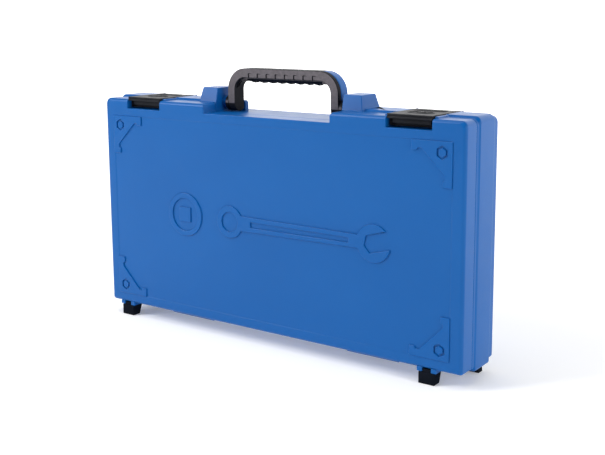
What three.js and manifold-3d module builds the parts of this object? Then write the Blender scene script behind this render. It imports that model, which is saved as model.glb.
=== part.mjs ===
// Half-inch socket wrench set in a hard plastic carrying case, standing on its feet.
// Frame: X right along the case, Y back through its depth, Z up, in millimetres.
// The origin is the middle of the footprint, at the bottom of the feet.
// Inside the group, y = 0 is the lid's outer face and z = 0 is the lid's bottom edge.

import * as THREE from "three";
import { mergeVertices } from "three/addons/utils/BufferGeometryUtils.js";
import Module from "manifold-3d";

const wasm = await Module();
wasm.setup();

// ---- driving dimensions ----
const MIRRORED = [-1, 1]; // left and right
const GAP = 0.3; // between pieces that touch
const CASE_HALF = 210; // half the case's width
const CASE_TOP = 218; // lid's top edge
const CASE_DEPTH = 62;
const SEAM = 19.5; // depth at which lid and base meet
const WALL = 2.4;
const CORNER = 6; // radius of the case's upper corners seen from the front
const LOW_CORNER = 2.5; // and of its lower ones
const FOOT_DROP = 14; // feet below the lid's bottom edge

const RIDGE = { front: 25, back: 51.5, rise: 2, drop: 3, side: 1 }; // raised belt round the base
const STEP_IN = 0.3; // the base behind the belt is this much smaller
const BACK_FILLET = 2.5;
const LID_FILLET = 3.5;

const RECESS = { half: 74.5, floor: 208.7 }; // the handle folds down into it
const LATCH = { centre: 155.4, width: 44.4, notch: 45.2, floor: 208.3, channel: 213.2 };
const LATCH_PIN = { y: 56.2, z: 216.9, radius: 1.3 };
const LATCH_BARREL = { radius: 3, half: 14 };
const LATCH_PLATE = { front: 1.4, bottom: 217.4, top: 220.4 };
const LATCH_LIP = { front: 5.6, back: 8.6, bottom: 209.9 };

const PIVOT = { y: 36, z: 217.6, radius: 2.5 }; // handle axis
const HANDLE = { half: 65.5, top: 252, front: 27.7, back: 44.3, corner: 21, leg: 8.5, bar: 9, under: 12.5 };
const BOW = { front: 33.4, skin: 2, leg: 5, bar: 6.2 };
const RIBS = { count: 8, pitch: 10.9, shift: -1.6, width: 3, drop: 1.8, dip: 0.8 }; // finger ribs
const BOSS = { outer: 96.6, top: 232.3, front: 20, back: 51.5, lean: 3 };

const HINGE = { y: 19.5, z: -4.3, knuckle: 3.9, pin: 1.5, centre: 110, half: 28, lidHalf: 13.7 };
const FOOT = { width: 16, depth: 14, tip: 9.8, neck: 3 };
const REAR_FOOT = { neckFront: 46, tipFront: 50.5, tipBack: 58, neckBack: 56.5 };
const LID_FEET = [-187.3, 176];
const BASE_FEET = [-170, 194];

const TRAY = { half: 206.8, bottom: 10, top: 203, skin: 36.5, wall: 1.6, rim: 54, floor: 58.8 };
const TOOL_Y = 34.5; // plane of the tools' axes
const DEEP_Y = 31; // plane of the ratchet's and the T bar's axes
const PLAY = 0.5; // pocket round a tool
const DRIVE = 12.6; // the set's driving square
const SQUARE_HOLE = 13.1;
const LEVER_REST = -0.42; // the reversing lever lies to one side, in radians

const SOCKET_SIZES = [
  [10, 11, 12, 13, 14, 15, 16, 17, 18, 19],
  [21, 22, 24, 27, 30, 32],
];
const SMALL_SOCKET = 38;
const LARGE_SOCKET = 46;
const PLUG_SOCKET = 65;
const SOCKET_GAP = 4;

// ---- materials ----
function plastic(color, roughness) {
  return new THREE.MeshStandardMaterial({ color, roughness, metalness: 0 });
}

function metal(color, roughness) {
  return new THREE.MeshStandardMaterial({ color, roughness, metalness: 1 });
}

const BLUE = plastic(0x2a66b4, 0.45);
const BLACK = plastic(0x17181c, 0.5);
const GRIP = plastic(0x2c2a2d, 0.6);
const FOAM = plastic(0x22252a, 0.9);
const TRAY_GREY = plastic(0x30343b, 0.6);
const CHROME = metal(0xd4d7db, 0.15);
const STEEL = metal(0x9a9ea4, 0.3);

// ---- solids ----
function solid(geometry) {
  const bare = geometry.clone();
  bare.deleteAttribute("normal");
  bare.deleteAttribute("uv");
  const merged = mergeVertices(bare, 1e-4);
  const index = merged.index.array;
  const triVerts = [];
  for (let i = 0; i < index.length; i += 3) {
    const [a, b, c] = [index[i], index[i + 1], index[i + 2]];
    if (a !== b && b !== c && c !== a) triVerts.push(a, b, c);
  }
  return new wasm.Manifold(new wasm.Mesh({
    numProp: 3,
    vertProperties: Float32Array.from(merged.attributes.position.array),
    triVerts: Uint32Array.from(triVerts),
  }));
}

function joined(solids) {
  return solids.reduce((sum, one) => sum.add(one));
}

function less(body, ...cuts) {
  return cuts.reduce((left, cut) => left.subtract(cut), body);
}

function shell(body) {
  const { vertProperties, triVerts } = body.getMesh();
  const geometry = new THREE.BufferGeometry();
  geometry.setAttribute("position", new THREE.BufferAttribute(vertProperties, 3));
  geometry.setIndex(new THREE.BufferAttribute(triVerts, 1));
  geometry.computeVertexNormals();
  return geometry;
}

const group = new THREE.Group();
group.position.set(0, -CASE_DEPTH / 2, FOOT_DROP);

function part(name, body, material) {
  const mesh = new THREE.Mesh(shell(body), material);
  mesh.name = name;
  group.add(mesh);
}

// Directions of an outline's two axes and of its extrusion, for each axis of the frame.
const TURNS = {
  x: [new THREE.Vector3(0, 1, 0), new THREE.Vector3(0, 0, 1), new THREE.Vector3(1, 0, 0)],
  y: [new THREE.Vector3(1, 0, 0), new THREE.Vector3(0, 0, 1), new THREE.Vector3(0, -1, 0)],
  z: [new THREE.Vector3(1, 0, 0), new THREE.Vector3(0, 1, 0), new THREE.Vector3(0, 0, 1)],
};

// An outline extruded along an axis: (y, z) along x, (x, z) along y, (x, y) along z.
function prism(outline, axis, from, to, curveSegments = 4) {
  const [low, high] = [Math.min(from, to), Math.max(from, to)];
  const options = { depth: high - low, bevelEnabled: false, steps: 1, curveSegments };
  const geometry = new THREE.ExtrudeGeometry(outline, options);
  geometry.applyMatrix4(new THREE.Matrix4().makeBasis(...TURNS[axis]));
  const start = axis === "y" ? high : low;
  geometry.translate(axis === "x" ? start : 0, axis === "y" ? start : 0, axis === "z" ? start : 0);
  return solid(geometry);
}

function box(x0, x1, y0, y1, z0, z1) {
  const geometry = new THREE.BoxGeometry(x1 - x0, y1 - y0, z1 - z0);
  geometry.translate((x0 + x1) / 2, (y0 + y1) / 2, (z0 + z1) / 2);
  return solid(geometry);
}

function polygon(u, v, radius, sides, turn = 0) {
  const points = [];
  for (let i = 0; i < sides; i += 1) {
    const angle = turn + (i * 2 * Math.PI) / sides;
    points.push(new THREE.Vector2(u + radius * Math.cos(angle), v + radius * Math.sin(angle)));
  }
  return new THREE.Shape(points);
}

function rod(axis, radius, from, to, u, v, sides = 12) {
  return prism(polygon(u, v, radius, sides), axis, from, to);
}

function hexagonHole(axis, size, from, to, u, v) {
  return prism(polygon(u, v, size / Math.sqrt(3), 6), axis, from, to);
}

function squareBar(axis, size, from, to, u, v) {
  return prism(polygon(u, v, size / Math.SQRT2, 4, Math.PI / 4), axis, from, to);
}

// A solid of revolution round an axis, from [position, radius] stations with ends at radius 0.
const LATHE_TURNS = {
  x: [new THREE.Vector3(0, 1, 0), new THREE.Vector3(1, 0, 0), new THREE.Vector3(0, 0, -1)],
  y: [new THREE.Vector3(1, 0, 0), new THREE.Vector3(0, 1, 0), new THREE.Vector3(0, 0, 1)],
  z: [new THREE.Vector3(1, 0, 0), new THREE.Vector3(0, 0, 1), new THREE.Vector3(0, -1, 0)],
};

function turned(axis, stations, u, v, sides = 16) {
  const first = stations[0][0];
  const last = stations[stations.length - 1][0];
  const profile = [[first, 0], ...stations, [last, 0]];
  const points = profile.map(([at, radius]) => new THREE.Vector2(radius, at));
  const geometry = new THREE.LatheGeometry(points, sides);
  geometry.applyMatrix4(new THREE.Matrix4().makeBasis(...LATHE_TURNS[axis]));
  const place = { x: [0, u, v], y: [u, 0, v], z: [u, v, 0] }[axis];
  geometry.translate(...place);
  return solid(geometry);
}

// One ring of a rounded rectangle in the plane y, anticlockwise seen from the front.
function rectangleRing(halfX, bottom, top, radius, y, arcSteps = 3) {
  const low = Math.min(radius, LOW_CORNER);
  const corners = [
    [-halfX + low, bottom + low, Math.PI, low],
    [halfX - low, bottom + low, 1.5 * Math.PI, low],
    [halfX - radius, top - radius, 0, radius],
    [-halfX + radius, top - radius, 0.5 * Math.PI, radius],
  ];
  const ring = [];
  for (const [x, z, start, r] of corners) {
    for (let i = 0; i <= arcSteps; i += 1) {
      const angle = start + (i * Math.PI) / 2 / arcSteps;
      ring.push([x + r * Math.cos(angle), y, z + r * Math.sin(angle)]);
    }
  }
  return ring;
}

// A closed skin over rings of equal count, from the front ring to the back one.
function loft(rings) {
  const count = rings[0].length;
  const index = [];
  for (let r = 0; r + 1 < rings.length; r += 1) {
    for (let i = 0; i < count; i += 1) {
      const next = (i + 1) % count;
      const [a, b] = [r * count + i, r * count + next];
      const [c, d] = [b + count, a + count];
      index.push(a, d, c, a, c, b);
    }
  }
  const back = (rings.length - 1) * count;
  for (let i = 1; i + 1 < count; i += 1) {
    index.push(0, i, i + 1, back, back + i + 1, back + i);
  }
  const geometry = new THREE.BufferGeometry();
  geometry.setAttribute("position", new THREE.Float32BufferAttribute(rings.flat(2), 3));
  geometry.setIndex(index);
  return solid(geometry);
}

// A slab with straight sides and one filleted edge, from the flat face at y0 towards y1.
function filletedRings(faceY, towards, fillet, halfX, bottom, top, radius) {
  const rings = [];
  const steps = 3;
  for (let i = 0; i <= steps; i += 1) {
    const angle = (i * Math.PI) / 2 / steps;
    const inset = fillet * (1 - Math.sin(angle));
    const y = faceY + towards * fillet * (1 - Math.cos(angle));
    const corner = Math.max(radius - inset * 0.5, 1);
    rings.push(rectangleRing(halfX - inset, bottom + inset, top - inset, corner, y));
  }
  return rings;
}

// A box-shaped dent with its own wall inside a hollow shell.
function dent(body, outer, [x0, x1], [y0, y1], [z0, z1], wall) {
  const lining = box(x0 - wall, x1 + wall, y0 - wall, y1 + wall, z0 - wall, z1 + wall);
  return body.add(lining.intersect(outer)).subtract(box(x0, x1, y0, y1, z0, z1));
}

// ---- lid ----
const LID_BACK = SEAM - GAP / 2;
const BASE_FRONT = SEAM + GAP / 2;

function span(side, near, far) {
  return side > 0 ? [near, far] : [-far, -near];
}

function hingeKnuckle(from, to, webFrom, webTo) {
  const knuckle = rod("x", HINGE.knuckle, from, to, HINGE.y, HINGE.z);
  return knuckle.add(box(from, to, webFrom, webTo, HINGE.z, 1));
}

function hingeBore() {
  const reach = CASE_HALF;
  return rod("x", HINGE.pin + GAP, -reach, reach, HINGE.y, HINGE.z, 12);
}

function lidShell() {
  const outer = loft([
    ...filletedRings(0, 1, LID_FILLET, CASE_HALF, 0, CASE_TOP, CORNER),
    rectangleRing(CASE_HALF, 0, CASE_TOP, CORNER, LID_BACK),
  ]);
  const inner = box(WALL - CASE_HALF, CASE_HALF - WALL, WALL, SEAM + 1, WALL, CASE_TOP - WALL);
  let body = outer.subtract(inner);
  const top = CASE_TOP + 5;
  body = dent(body, outer, [-RECESS.half, RECESS.half], [-5, SEAM + 5], [RECESS.floor, top], WALL);
  for (const side of MIRRORED) {
    const notch = span(side, LATCH.centre - LATCH.notch / 2, LATCH.centre + LATCH.notch / 2);
    body = dent(body, outer, notch, [-5, SEAM + 5], [LATCH.floor, top], WALL);
    body = body.add(box(notch[0] + 6, notch[1] - 6, 11, 12.5, LATCH.floor - 1, LATCH.floor + 1.2));
    body = body.add(latchLedges(side, 5, LID_BACK));
    const centre = side * HINGE.centre;
    body = body.add(hingeKnuckle(centre - HINGE.lidHalf, centre + HINGE.lidHalf, 13.5, LID_BACK));
  }
  for (const x of LID_FEET) {
    for (const side of MIRRORED) {
      const [x0, x1] = span(side, 4.4, 9.6);
      body = body.add(box(x + x0, x + x1, 0, FOOT.depth, -3, 1));
    }
    body = body.subtract(box(x - 3.3, x + 3.3, 3.7, 10.3, -5, 5));
  }
  return body.subtract(hingeBore());
}

// Low rails along both sides of a latch.
function latchLedges(side, from, to) {
  const rails = [];
  for (const edge of MIRRORED) {
    const inner = LATCH.centre + (edge * LATCH.notch) / 2;
    const outer = inner + edge * 4.6;
    const outline = new THREE.Shape();
    outline.moveTo(side * inner, CASE_TOP - 4);
    outline.lineTo(side * inner, CASE_TOP + 1.6);
    outline.lineTo(side * (inner + edge * 3.2), CASE_TOP + 1.6);
    outline.lineTo(side * outer, CASE_TOP - 4);
    rails.push(prism(outline, "y", from, to));
  }
  return joined(rails);
}

// ---- base ----
function baseOuter() {
  const half = CASE_HALF;
  const proud = [half + RIDGE.side, -RIDGE.drop, CASE_TOP + RIDGE.rise];
  const rear = filletedRings(
    CASE_DEPTH, -1, BACK_FILLET, half - STEP_IN, STEP_IN, CASE_TOP - STEP_IN, CORNER);
  const front = [
    rectangleRing(half, 0, CASE_TOP, CORNER, BASE_FRONT),
    rectangleRing(half, 0, CASE_TOP, CORNER, RIDGE.front - 1.5),
    rectangleRing(...proud, CORNER, RIDGE.front),
    rectangleRing(...proud, CORNER, RIDGE.back),
  ];
  const behind = rectangleRing(half - STEP_IN, STEP_IN, CASE_TOP - STEP_IN, CORNER, RIDGE.back + 1.5);
  return loft([...front, behind, ...rear.reverse()]);
}

function baseShell() {
  const outer = baseOuter();
  const back = CASE_DEPTH - WALL;
  const half = CASE_HALF - STEP_IN - WALL + 0.6;
  const inner = box(-half, half, BASE_FRONT - 1, back, WALL + STEP_IN, CASE_TOP - WALL - STEP_IN);
  let body = outer.subtract(inner);
  const top = CASE_TOP + 20;
  body = dent(body, outer, [-RECESS.half, RECESS.half], [-5, 80], [RECESS.floor, top], WALL);
  for (const side of MIRRORED) {
    const notch = span(side, LATCH.centre - LATCH.notch / 2, LATCH.centre + LATCH.notch / 2);
    body = dent(body, outer, notch, [-5, 59.6], [LATCH.channel, top], WALL);
    body = body.add(latchLedges(side, BASE_FRONT, 55)).add(latchLugs(side));
    body = body.add(handleBoss(side));
    const centre = side * HINGE.centre;
    for (const end of MIRRORED) {
      const [x0, x1] = span(end, HINGE.lidHalf + GAP, HINGE.half);
      body = body.add(hingeKnuckle(centre + x0, centre + x1, BASE_FRONT, RIDGE.front + 1));
    }
    const reach = LATCH.width / 2 + GAP;
    const latchEnds = span(side, LATCH.centre - reach, LATCH.centre + reach);
    body = less(
      body,
      rod("x", LATCH_PIN.radius + GAP, ...latchEnds, LATCH_PIN.y, LATCH_PIN.z, 12),
      rod("x", PIVOT.radius + GAP, ...span(side, 60, 84), PIVOT.y, PIVOT.z, 12),
    );
  }
  for (const x of LID_FEET) {
    body = dent(body, outer, [x - 10.3, x + 10.3], [-5, 42], [-8, 6.2], WALL - 0.4);
  }
  for (const x of BASE_FEET) {
    body = body.subtract(box(x - 3.3, x + 3.3, 48.2, 53.8, -5, 6));
  }
  return body.subtract(hingeBore());
}

function latchLugs(side) {
  const lugs = [];
  for (const end of MIRRORED) {
    const [x0, x1] = span(end, LATCH_BARREL.half + GAP + 0.2, LATCH.notch / 2 + 0.5);
    const centre = side * LATCH.centre;
    lugs.push(rod("x", LATCH_BARREL.radius, centre + x0, centre + x1, LATCH_PIN.y, LATCH_PIN.z));
    lugs.push(box(centre + x0, centre + x1, 53.2, 59.2, LATCH.channel - 1, LATCH_PIN.z));
  }
  return joined(lugs);
}

// The block beside each handle leg, with a collar for the pivot pin and a stop behind the leg.
function handleBoss(side) {
  const outline = new THREE.Shape();
  const inner = RECESS.half;
  outline.moveTo(side * inner, RECESS.floor);
  outline.lineTo(side * inner, BOSS.top);
  outline.lineTo(side * (BOSS.outer - 3), BOSS.top);
  outline.lineTo(side * BOSS.outer, CASE_TOP);
  outline.lineTo(side * BOSS.outer, RECESS.floor);
  const block = prism(outline, "y", BOSS.front, BOSS.back);
  const slope = new THREE.Shape();
  slope.moveTo(BOSS.front, RECESS.floor);
  slope.lineTo(BOSS.back, RECESS.floor);
  slope.lineTo(BOSS.back, CASE_TOP);
  slope.lineTo(BOSS.back - 4, BOSS.top);
  slope.lineTo(BOSS.front + BOSS.lean, BOSS.top);
  slope.lineTo(BOSS.front, CASE_TOP);
  const width = span(side, inner - 1, BOSS.outer + 1);
  const shaped = block.intersect(prism(slope, "x", ...width));
  const collar = rod("x", 6, ...span(side, HANDLE.half + GAP, inner + 1), PIVOT.y, PIVOT.z);
  const stop = box(...span(side, 57.5, 66), HANDLE.back + 0.4, 50, RECESS.floor - 1, CASE_TOP + 0.9);
  return joined([shaped, collar, stop]);
}

// ---- handle ----
// A bail seen from the front: outer line inset by `out`, inner line at `leg` and `bar` from it.
function bail(out, leg, bar, y0, y1) {
  const foot = PIVOT.z - 12;
  const half = HANDLE.half - out;
  const top = HANDLE.top - out;
  const radius = HANDLE.corner - out;
  const innerHalf = HANDLE.half - leg;
  const innerTop = HANDLE.top - bar;
  const innerRadius = Math.max(HANDLE.corner - Math.max(leg, bar), 2);
  const outline = new THREE.Shape();
  outline.moveTo(half, foot);
  outline.lineTo(half, top - radius);
  outline.absarc(half - radius, top - radius, radius, 0, Math.PI / 2);
  outline.lineTo(radius - half, top);
  outline.absarc(radius - half, top - radius, radius, Math.PI / 2, Math.PI);
  outline.lineTo(-half, foot);
  outline.lineTo(-innerHalf, foot);
  outline.lineTo(-innerHalf, innerTop - innerRadius);
  outline.absarc(innerRadius - innerHalf, innerTop - innerRadius, innerRadius, Math.PI, Math.PI / 2, true);
  outline.lineTo(innerHalf - innerRadius, innerTop);
  outline.absarc(innerHalf - innerRadius, innerTop - innerRadius, innerRadius, Math.PI / 2, 0, true);
  outline.lineTo(innerHalf, foot);
  return prism(outline, "y", y0, y1, 3);
}

// What the legs' ends are trimmed to: straight above the pivot, round below it.
function legEnds() {
  const half = (HANDLE.back - HANDLE.front) / 2;
  const outline = new THREE.Shape();
  outline.moveTo(PIVOT.y + half, HANDLE.top + 1);
  outline.lineTo(PIVOT.y - half, HANDLE.top + 1);
  outline.lineTo(PIVOT.y - half, PIVOT.z);
  outline.absarc(PIVOT.y, PIVOT.z, half, Math.PI, 2 * Math.PI);
  return prism(outline, "x", -80, 80, 4);
}

function pivotHoles() {
  const holes = MIRRORED.map((side) => (
    rod("x", PIVOT.radius + GAP, ...span(side, 60.3, 67), PIVOT.y, PIVOT.z, 12)));
  return joined(holes);
}

// Everything of the handle within a distance of its middle.
function middleOf(reach) {
  return box(-reach, reach, 0, CASE_DEPTH, HANDLE.top - 40, HANDLE.top + 10);
}

function handleFrame() {
  const legs = bail(0, BOW.leg, BOW.leg, BOW.front, HANDLE.back);
  const bar = bail(BOW.skin + GAP, BOW.bar, BOW.bar, BOW.front, HANDLE.back);
  const middle = middleOf(HANDLE.half - HANDLE.corner);
  return legs.subtract(middle).add(bar.intersect(middle)).intersect(legEnds()).subtract(pivotHoles());
}

function handleGrip() {
  const front = bail(0, HANDLE.leg, HANDLE.bar, HANDLE.front, BOW.front - GAP);
  const lining = bail(BOW.leg + GAP, HANDLE.leg, HANDLE.under, BOW.front - 1, HANDLE.back - 2);
  const straight = HANDLE.half - HANDLE.corner;
  const roof = bail(0, BOW.skin, BOW.skin, BOW.front - 1, HANDLE.back - 0.4)
    .intersect(middleOf(straight - GAP));
  const underside = bail(BOW.bar + GAP, HANDLE.leg, HANDLE.under, BOW.front - 1, HANDLE.back - 2);
  const sides = lining.subtract(middleOf(straight + 1.5));
  const floor = underside.intersect(middleOf(straight + 2.5));
  const ribs = [];
  const dips = [];
  const edge = HANDLE.top - HANDLE.bar;
  const under = HANDLE.top - HANDLE.under;
  for (let i = 0; i < RIBS.count; i += 1) {
    const x = (i - (RIBS.count - 1) / 2) * RIBS.pitch + RIBS.shift;
    ribs.push(box(x, x + RIBS.width, HANDLE.front + 4, HANDLE.back - 2, under - RIBS.drop, under + 0.5));
    const dip = new THREE.Shape();
    dip.moveTo(x, HANDLE.front - 0.1);
    dip.lineTo(x, HANDLE.front + RIBS.dip);
    dip.lineTo(x + 6.5, HANDLE.front - 0.1);
    dips.push(prism(dip, "z", edge - 1, edge + 4.2));
  }
  const whole = joined([front, sides, roof, floor, ...ribs]);
  return whole.subtract(joined(dips)).intersect(legEnds());
}

// ---- latches ----
function latch(side) {
  const centre = side * LATCH.centre;
  const half = LATCH.width / 2;
  const [x0, x1] = [centre - half, centre + half];
  const plateBack = LATCH_PIN.y - LATCH_BARREL.radius - 0.8;
  const plate = box(x0, x1, LATCH_PLATE.front, plateBack, LATCH_PLATE.bottom, LATCH_PLATE.top);
  const brow = box(x0, x1, LATCH_PLATE.front, LATCH_PLATE.front + 1.6, LATCH_PLATE.bottom - 1.1, 219);
  const lip = box(x0 + 0.6, x1 - 0.6, LATCH_LIP.front, LATCH_LIP.back, LATCH_LIP.bottom, 218);
  const skirts = MIRRORED.map((end) => {
    const [u0, u1] = span(end, half - 2.2, half - 0.6);
    const fore = box(centre + u0, centre + u1, LATCH_LIP.front, SEAM - 1, LATCH_LIP.bottom, 218);
    return fore.add(box(centre + u0, centre + u1, SEAM - 2, 46, LATCH.channel + 1.4, 218));
  });
  const barrelHalf = LATCH_BARREL.half;
  const [b0, b1] = [centre - barrelHalf, centre + barrelHalf];
  const barrel = rod("x", LATCH_BARREL.radius, b0, b1, LATCH_PIN.y, LATCH_PIN.z);
  const neck = box(b0, b1, plateBack - 2, LATCH_PIN.y, LATCH_PLATE.bottom, LATCH_PLATE.top - 0.9);
  const bore = rod("x", LATCH_PIN.radius + GAP, x0, x1, LATCH_PIN.y, LATCH_PIN.z, 12);
  return joined([plate, brow, lip, ...skirts, barrel, neck]).subtract(bore);
}

// ---- feet ----
// A wedge below the case, with its four corners seen from the side as [y, z].
function footBlock(x, corners) {
  const outline = new THREE.Shape(corners.map(([y, z]) => new THREE.Vector2(y, z)));
  const half = FOOT.width / 2;
  return prism(outline, "x", x - half, x + half);
}

function lidFoot(x) {
  const neck = -FOOT.neck - GAP;
  const block = footBlock(x, [
    [0, -FOOT_DROP], [FOOT.tip, -FOOT_DROP], [FOOT.depth - 0.5, neck], [0, neck],
  ]);
  const tongue = box(x - 4.1, x + 4.1, 0.6, FOOT.depth - 1, neck - 0.7, -GAP);
  const peg = box(x - 3, x + 3, 4, 10, -1, 4.2);
  return joined([block, tongue, peg]);
}

function baseFoot(x) {
  const neck = -RIDGE.drop - GAP;
  const { neckFront, tipFront, tipBack, neckBack } = REAR_FOOT;
  const block = footBlock(x, [
    [tipFront, -FOOT_DROP], [tipBack, -FOOT_DROP], [neckBack, neck], [neckFront, neck],
  ]);
  return block.add(box(x - 3, x + 3, 48.5, 53.5, -5, 5.2));
}

// ---- tools ----
// A pocket's inside for a round tool: a trough with chamfered edges, open to the front.
function trough(axis, from, to, at, radius, y, grow) {
  const r = radius + grow;
  const edge = r * Math.tan(Math.PI / 8);
  const deep = y + r;
  const sides = [[-r, 10], [-r, y + edge], [-edge, deep], [edge, deep], [r, y + edge], [r, 10]];
  const points = sides.map(([across, depth]) => (
    axis === "z" ? new THREE.Vector2(at + across, depth) : new THREE.Vector2(depth, at + across)));
  return prism(new THREE.Shape(points), axis, from - grow, to + grow);
}

function well(axisX, axisZ, radius, depth, grow) {
  return rod("y", radius + grow, 10, depth + grow, axisX, axisZ, 16);
}

function bay(x0, x1, z0, z1, depth, grow) {
  return box(x0 - grow, x1 + grow, 10, depth + grow, z0 - grow, z1 + grow);
}

// Each pocket is a function of how far its walls stand off the tool.
const pockets = [];

// ---- sockets ----
function noseRadius(size) {
  return (size * 1.28 + 2) / 2;
}

function driveRadius(size) {
  return Math.max(11, noseRadius(size) * 0.75);
}

function socket(size, x, bottom, length) {
  const nose = noseRadius(size);
  const drive = driveRadius(size);
  const top = bottom + length;
  const chamfer = 0.8;
  const shoulder = bottom + 22;
  const outer = turned("z", [
    [bottom, drive],
    [shoulder - 4, drive],
    [shoulder, nose],
    [top - chamfer, nose],
    [top, nose - chamfer],
  ], x, TOOL_Y);
  const square = squareBar("z", SQUARE_HOLE, bottom - 1, shoulder + 1, x, TOOL_Y);
  const hexagon = hexagonHole("z", size + 0.3, shoulder, top + 1, x, TOOL_Y);
  const widest = Math.max(nose, drive);
  pockets.push((grow) => trough("z", bottom, top, x, widest, TOOL_Y, grow));
  return less(outer, square, hexagon);
}

function socketRow(sizes, startX, bottom, length) {
  let edge = startX;
  for (const size of sizes) {
    const radius = Math.max(noseRadius(size), driveRadius(size));
    part(`socket_${size}mm`, socket(size, edge + radius, bottom, length), CHROME);
    edge += 2 * radius + SOCKET_GAP;
  }
}

// ---- extension bars ----
// The pocket is longer than the bar by the finger room before its wide end.
function extension(from, length, z, fingerRoom = 0) {
  const to = from + length;
  const bar = turned("x", [
    [from, 10.2],
    [from + 0.8, 11],
    [from + 22, 11],
    [from + 27, 6.6],
    [to - 26, 6.6],
    [to - 23, 8.6],
    [to - 15.5, 8.6],
    [to - 15, 8],
  ], TOOL_Y, z);
  const square = squareBar("x", DRIVE, to - 16, to, TOOL_Y, z);
  const hole = squareBar("x", SQUARE_HOLE, from - 1, from + 17, TOOL_Y, z);
  pockets.push((grow) => trough("x", from - fingerRoom, from + 25, z, 11, TOOL_Y, grow));
  pockets.push((grow) => trough("x", from + 20, to, z, 9.2, TOOL_Y, grow));
  return bar.add(square).subtract(hole);
}

// ---- sliding T handle ----
const T_BAR = { from: -200, to: 50, z: 24.5, radius: 6.9, head: 11.8, travel: 100 };

function slidingBar() {
  const { from, to, z, radius } = T_BAR;
  const stations = [
    [from, radius - 1],
    [from + 1, radius],
    [to - 1, radius],
    [to, radius - 1],
  ];
  pockets.push((grow) => trough("x", from, to, z, radius, DEEP_Y, grow));
  const middle = (from + to) / 2;
  const reach = T_BAR.travel + T_BAR.head + 1;
  pockets.push((grow) => bay(middle - reach, middle + reach, z - T_BAR.head, z + T_BAR.head, 57, grow));
  return turned("x", stations, DEEP_Y, z);
}

function slidingHead() {
  const x = (T_BAR.from + T_BAR.to) / 2;
  const { head, z } = T_BAR;
  const block = turned("y", [
    [DEEP_Y - 11.6, head - 2],
    [DEEP_Y - 10, head],
    [DEEP_Y + 10, head],
    [DEEP_Y + 11.6, head - 2],
  ], x, z);
  const square = squareBar("y", DRIVE, DEEP_Y + 11, 56.5, x, z);
  const bore = rod("x", T_BAR.radius + GAP, x - 20, x + 20, DEEP_Y, z, 16);
  return block.add(square).subtract(bore);
}

// ---- universal joint ----
const CARDAN = { x: 172, z: 94, pin: 2.6, ear: 5.5, earFrom: 7.2, earTo: 11, clear: 13.5 };

function ears(axis, towards) {
  const { x, z, ear, earFrom, earTo, clear, pin } = CARDAN;
  const plates = MIRRORED.map((side) => {
    const across = axis === "y" ? TOOL_Y : x;
    const [a, b] = [across + side * earFrom, across + side * earTo];
    const [low, high] = [Math.min(a, b), Math.max(a, b)];
    const along = axis === "y" ? x : TOOL_Y;
    const round = rod(axis, ear, low, high, along, z, 16);
    const [z0, z1] = towards > 0 ? [z, z + clear + 1] : [z - clear - 1, z];
    const plate = axis === "y"
      ? box(x - ear, x + ear, low, high, z0, z1)
      : box(low, high, TOOL_Y - ear, TOOL_Y + ear, z0, z1);
    return round.add(plate);
  });
  const along = axis === "y" ? x : TOOL_Y;
  return joined(plates).subtract(rod(axis, pin + GAP, 0, 200, along, z, 12));
}

function cardanSocketYoke() {
  const { x, z, clear } = CARDAN;
  const base = z + clear;
  const body = turned("z", [
    [base, 11],
    [base + 1.5, 12.5],
    [base + 22, 12.5],
    [base + 23, 11.7],
  ], x, TOOL_Y);
  const hole = squareBar("z", SQUARE_HOLE, base + 7, base + 24, x, TOOL_Y);
  pockets.push((grow) => trough("z", base, base + 23, x, 12.5, TOOL_Y, grow));
  return body.add(ears("y", 1)).subtract(hole);
}

function cardanDriveYoke() {
  const { x, z, clear } = CARDAN;
  const top = z - clear;
  const body = turned("z", [
    [top - 11, 8.4],
    [top - 9.5, 9.8],
    [top - 1.5, 12],
    [top, 11.5],
  ], x, TOOL_Y);
  pockets.push((grow) => bay(x - 26, x + 26, z - 42, z + clear, 56.5, grow));
  return joined([body, ears("x", -1), squareBar("z", DRIVE, top - 24, top - 10, x, TOOL_Y)]);
}

function cardanCross() {
  const { x, z, pin, earTo, earFrom } = CARDAN;
  const half = earFrom - GAP - 0.2;
  const cube = box(x - half + 1, x + half - 1, TOOL_Y - half + 1, TOOL_Y + half - 1, z - 5, z + 5);
  const alongX = rod("x", pin, x - earTo, x + earTo, TOOL_Y, z, 12);
  const alongY = rod("y", pin, TOOL_Y - earTo, TOOL_Y + earTo, x, z, 12);
  return joined([cube, alongX, alongY]);
}

// ---- ratchet ----
const RATCHET = {
  z: 180, gearX: -178, pawlX: -156, headRadius: 20, neckRadius: 12.5,
  front: 21, back: 41, cover: 1.3, teeth: 20, gearRadius: 13, gripFrom: -72, gripTo: 52,
};

// The head's pear outline, shrunk by an inset.
function pear(inset) {
  const { gearX, pawlX, z, headRadius, neckRadius } = RATCHET;
  const angle = Math.acos((headRadius - neckRadius) / (pawlX - gearX));
  const outline = new THREE.Shape();
  outline.absarc(gearX, z, headRadius - inset, angle, 2 * Math.PI - angle);
  outline.absarc(pawlX, z, neckRadius - inset, -angle, angle);
  return outline;
}

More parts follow.
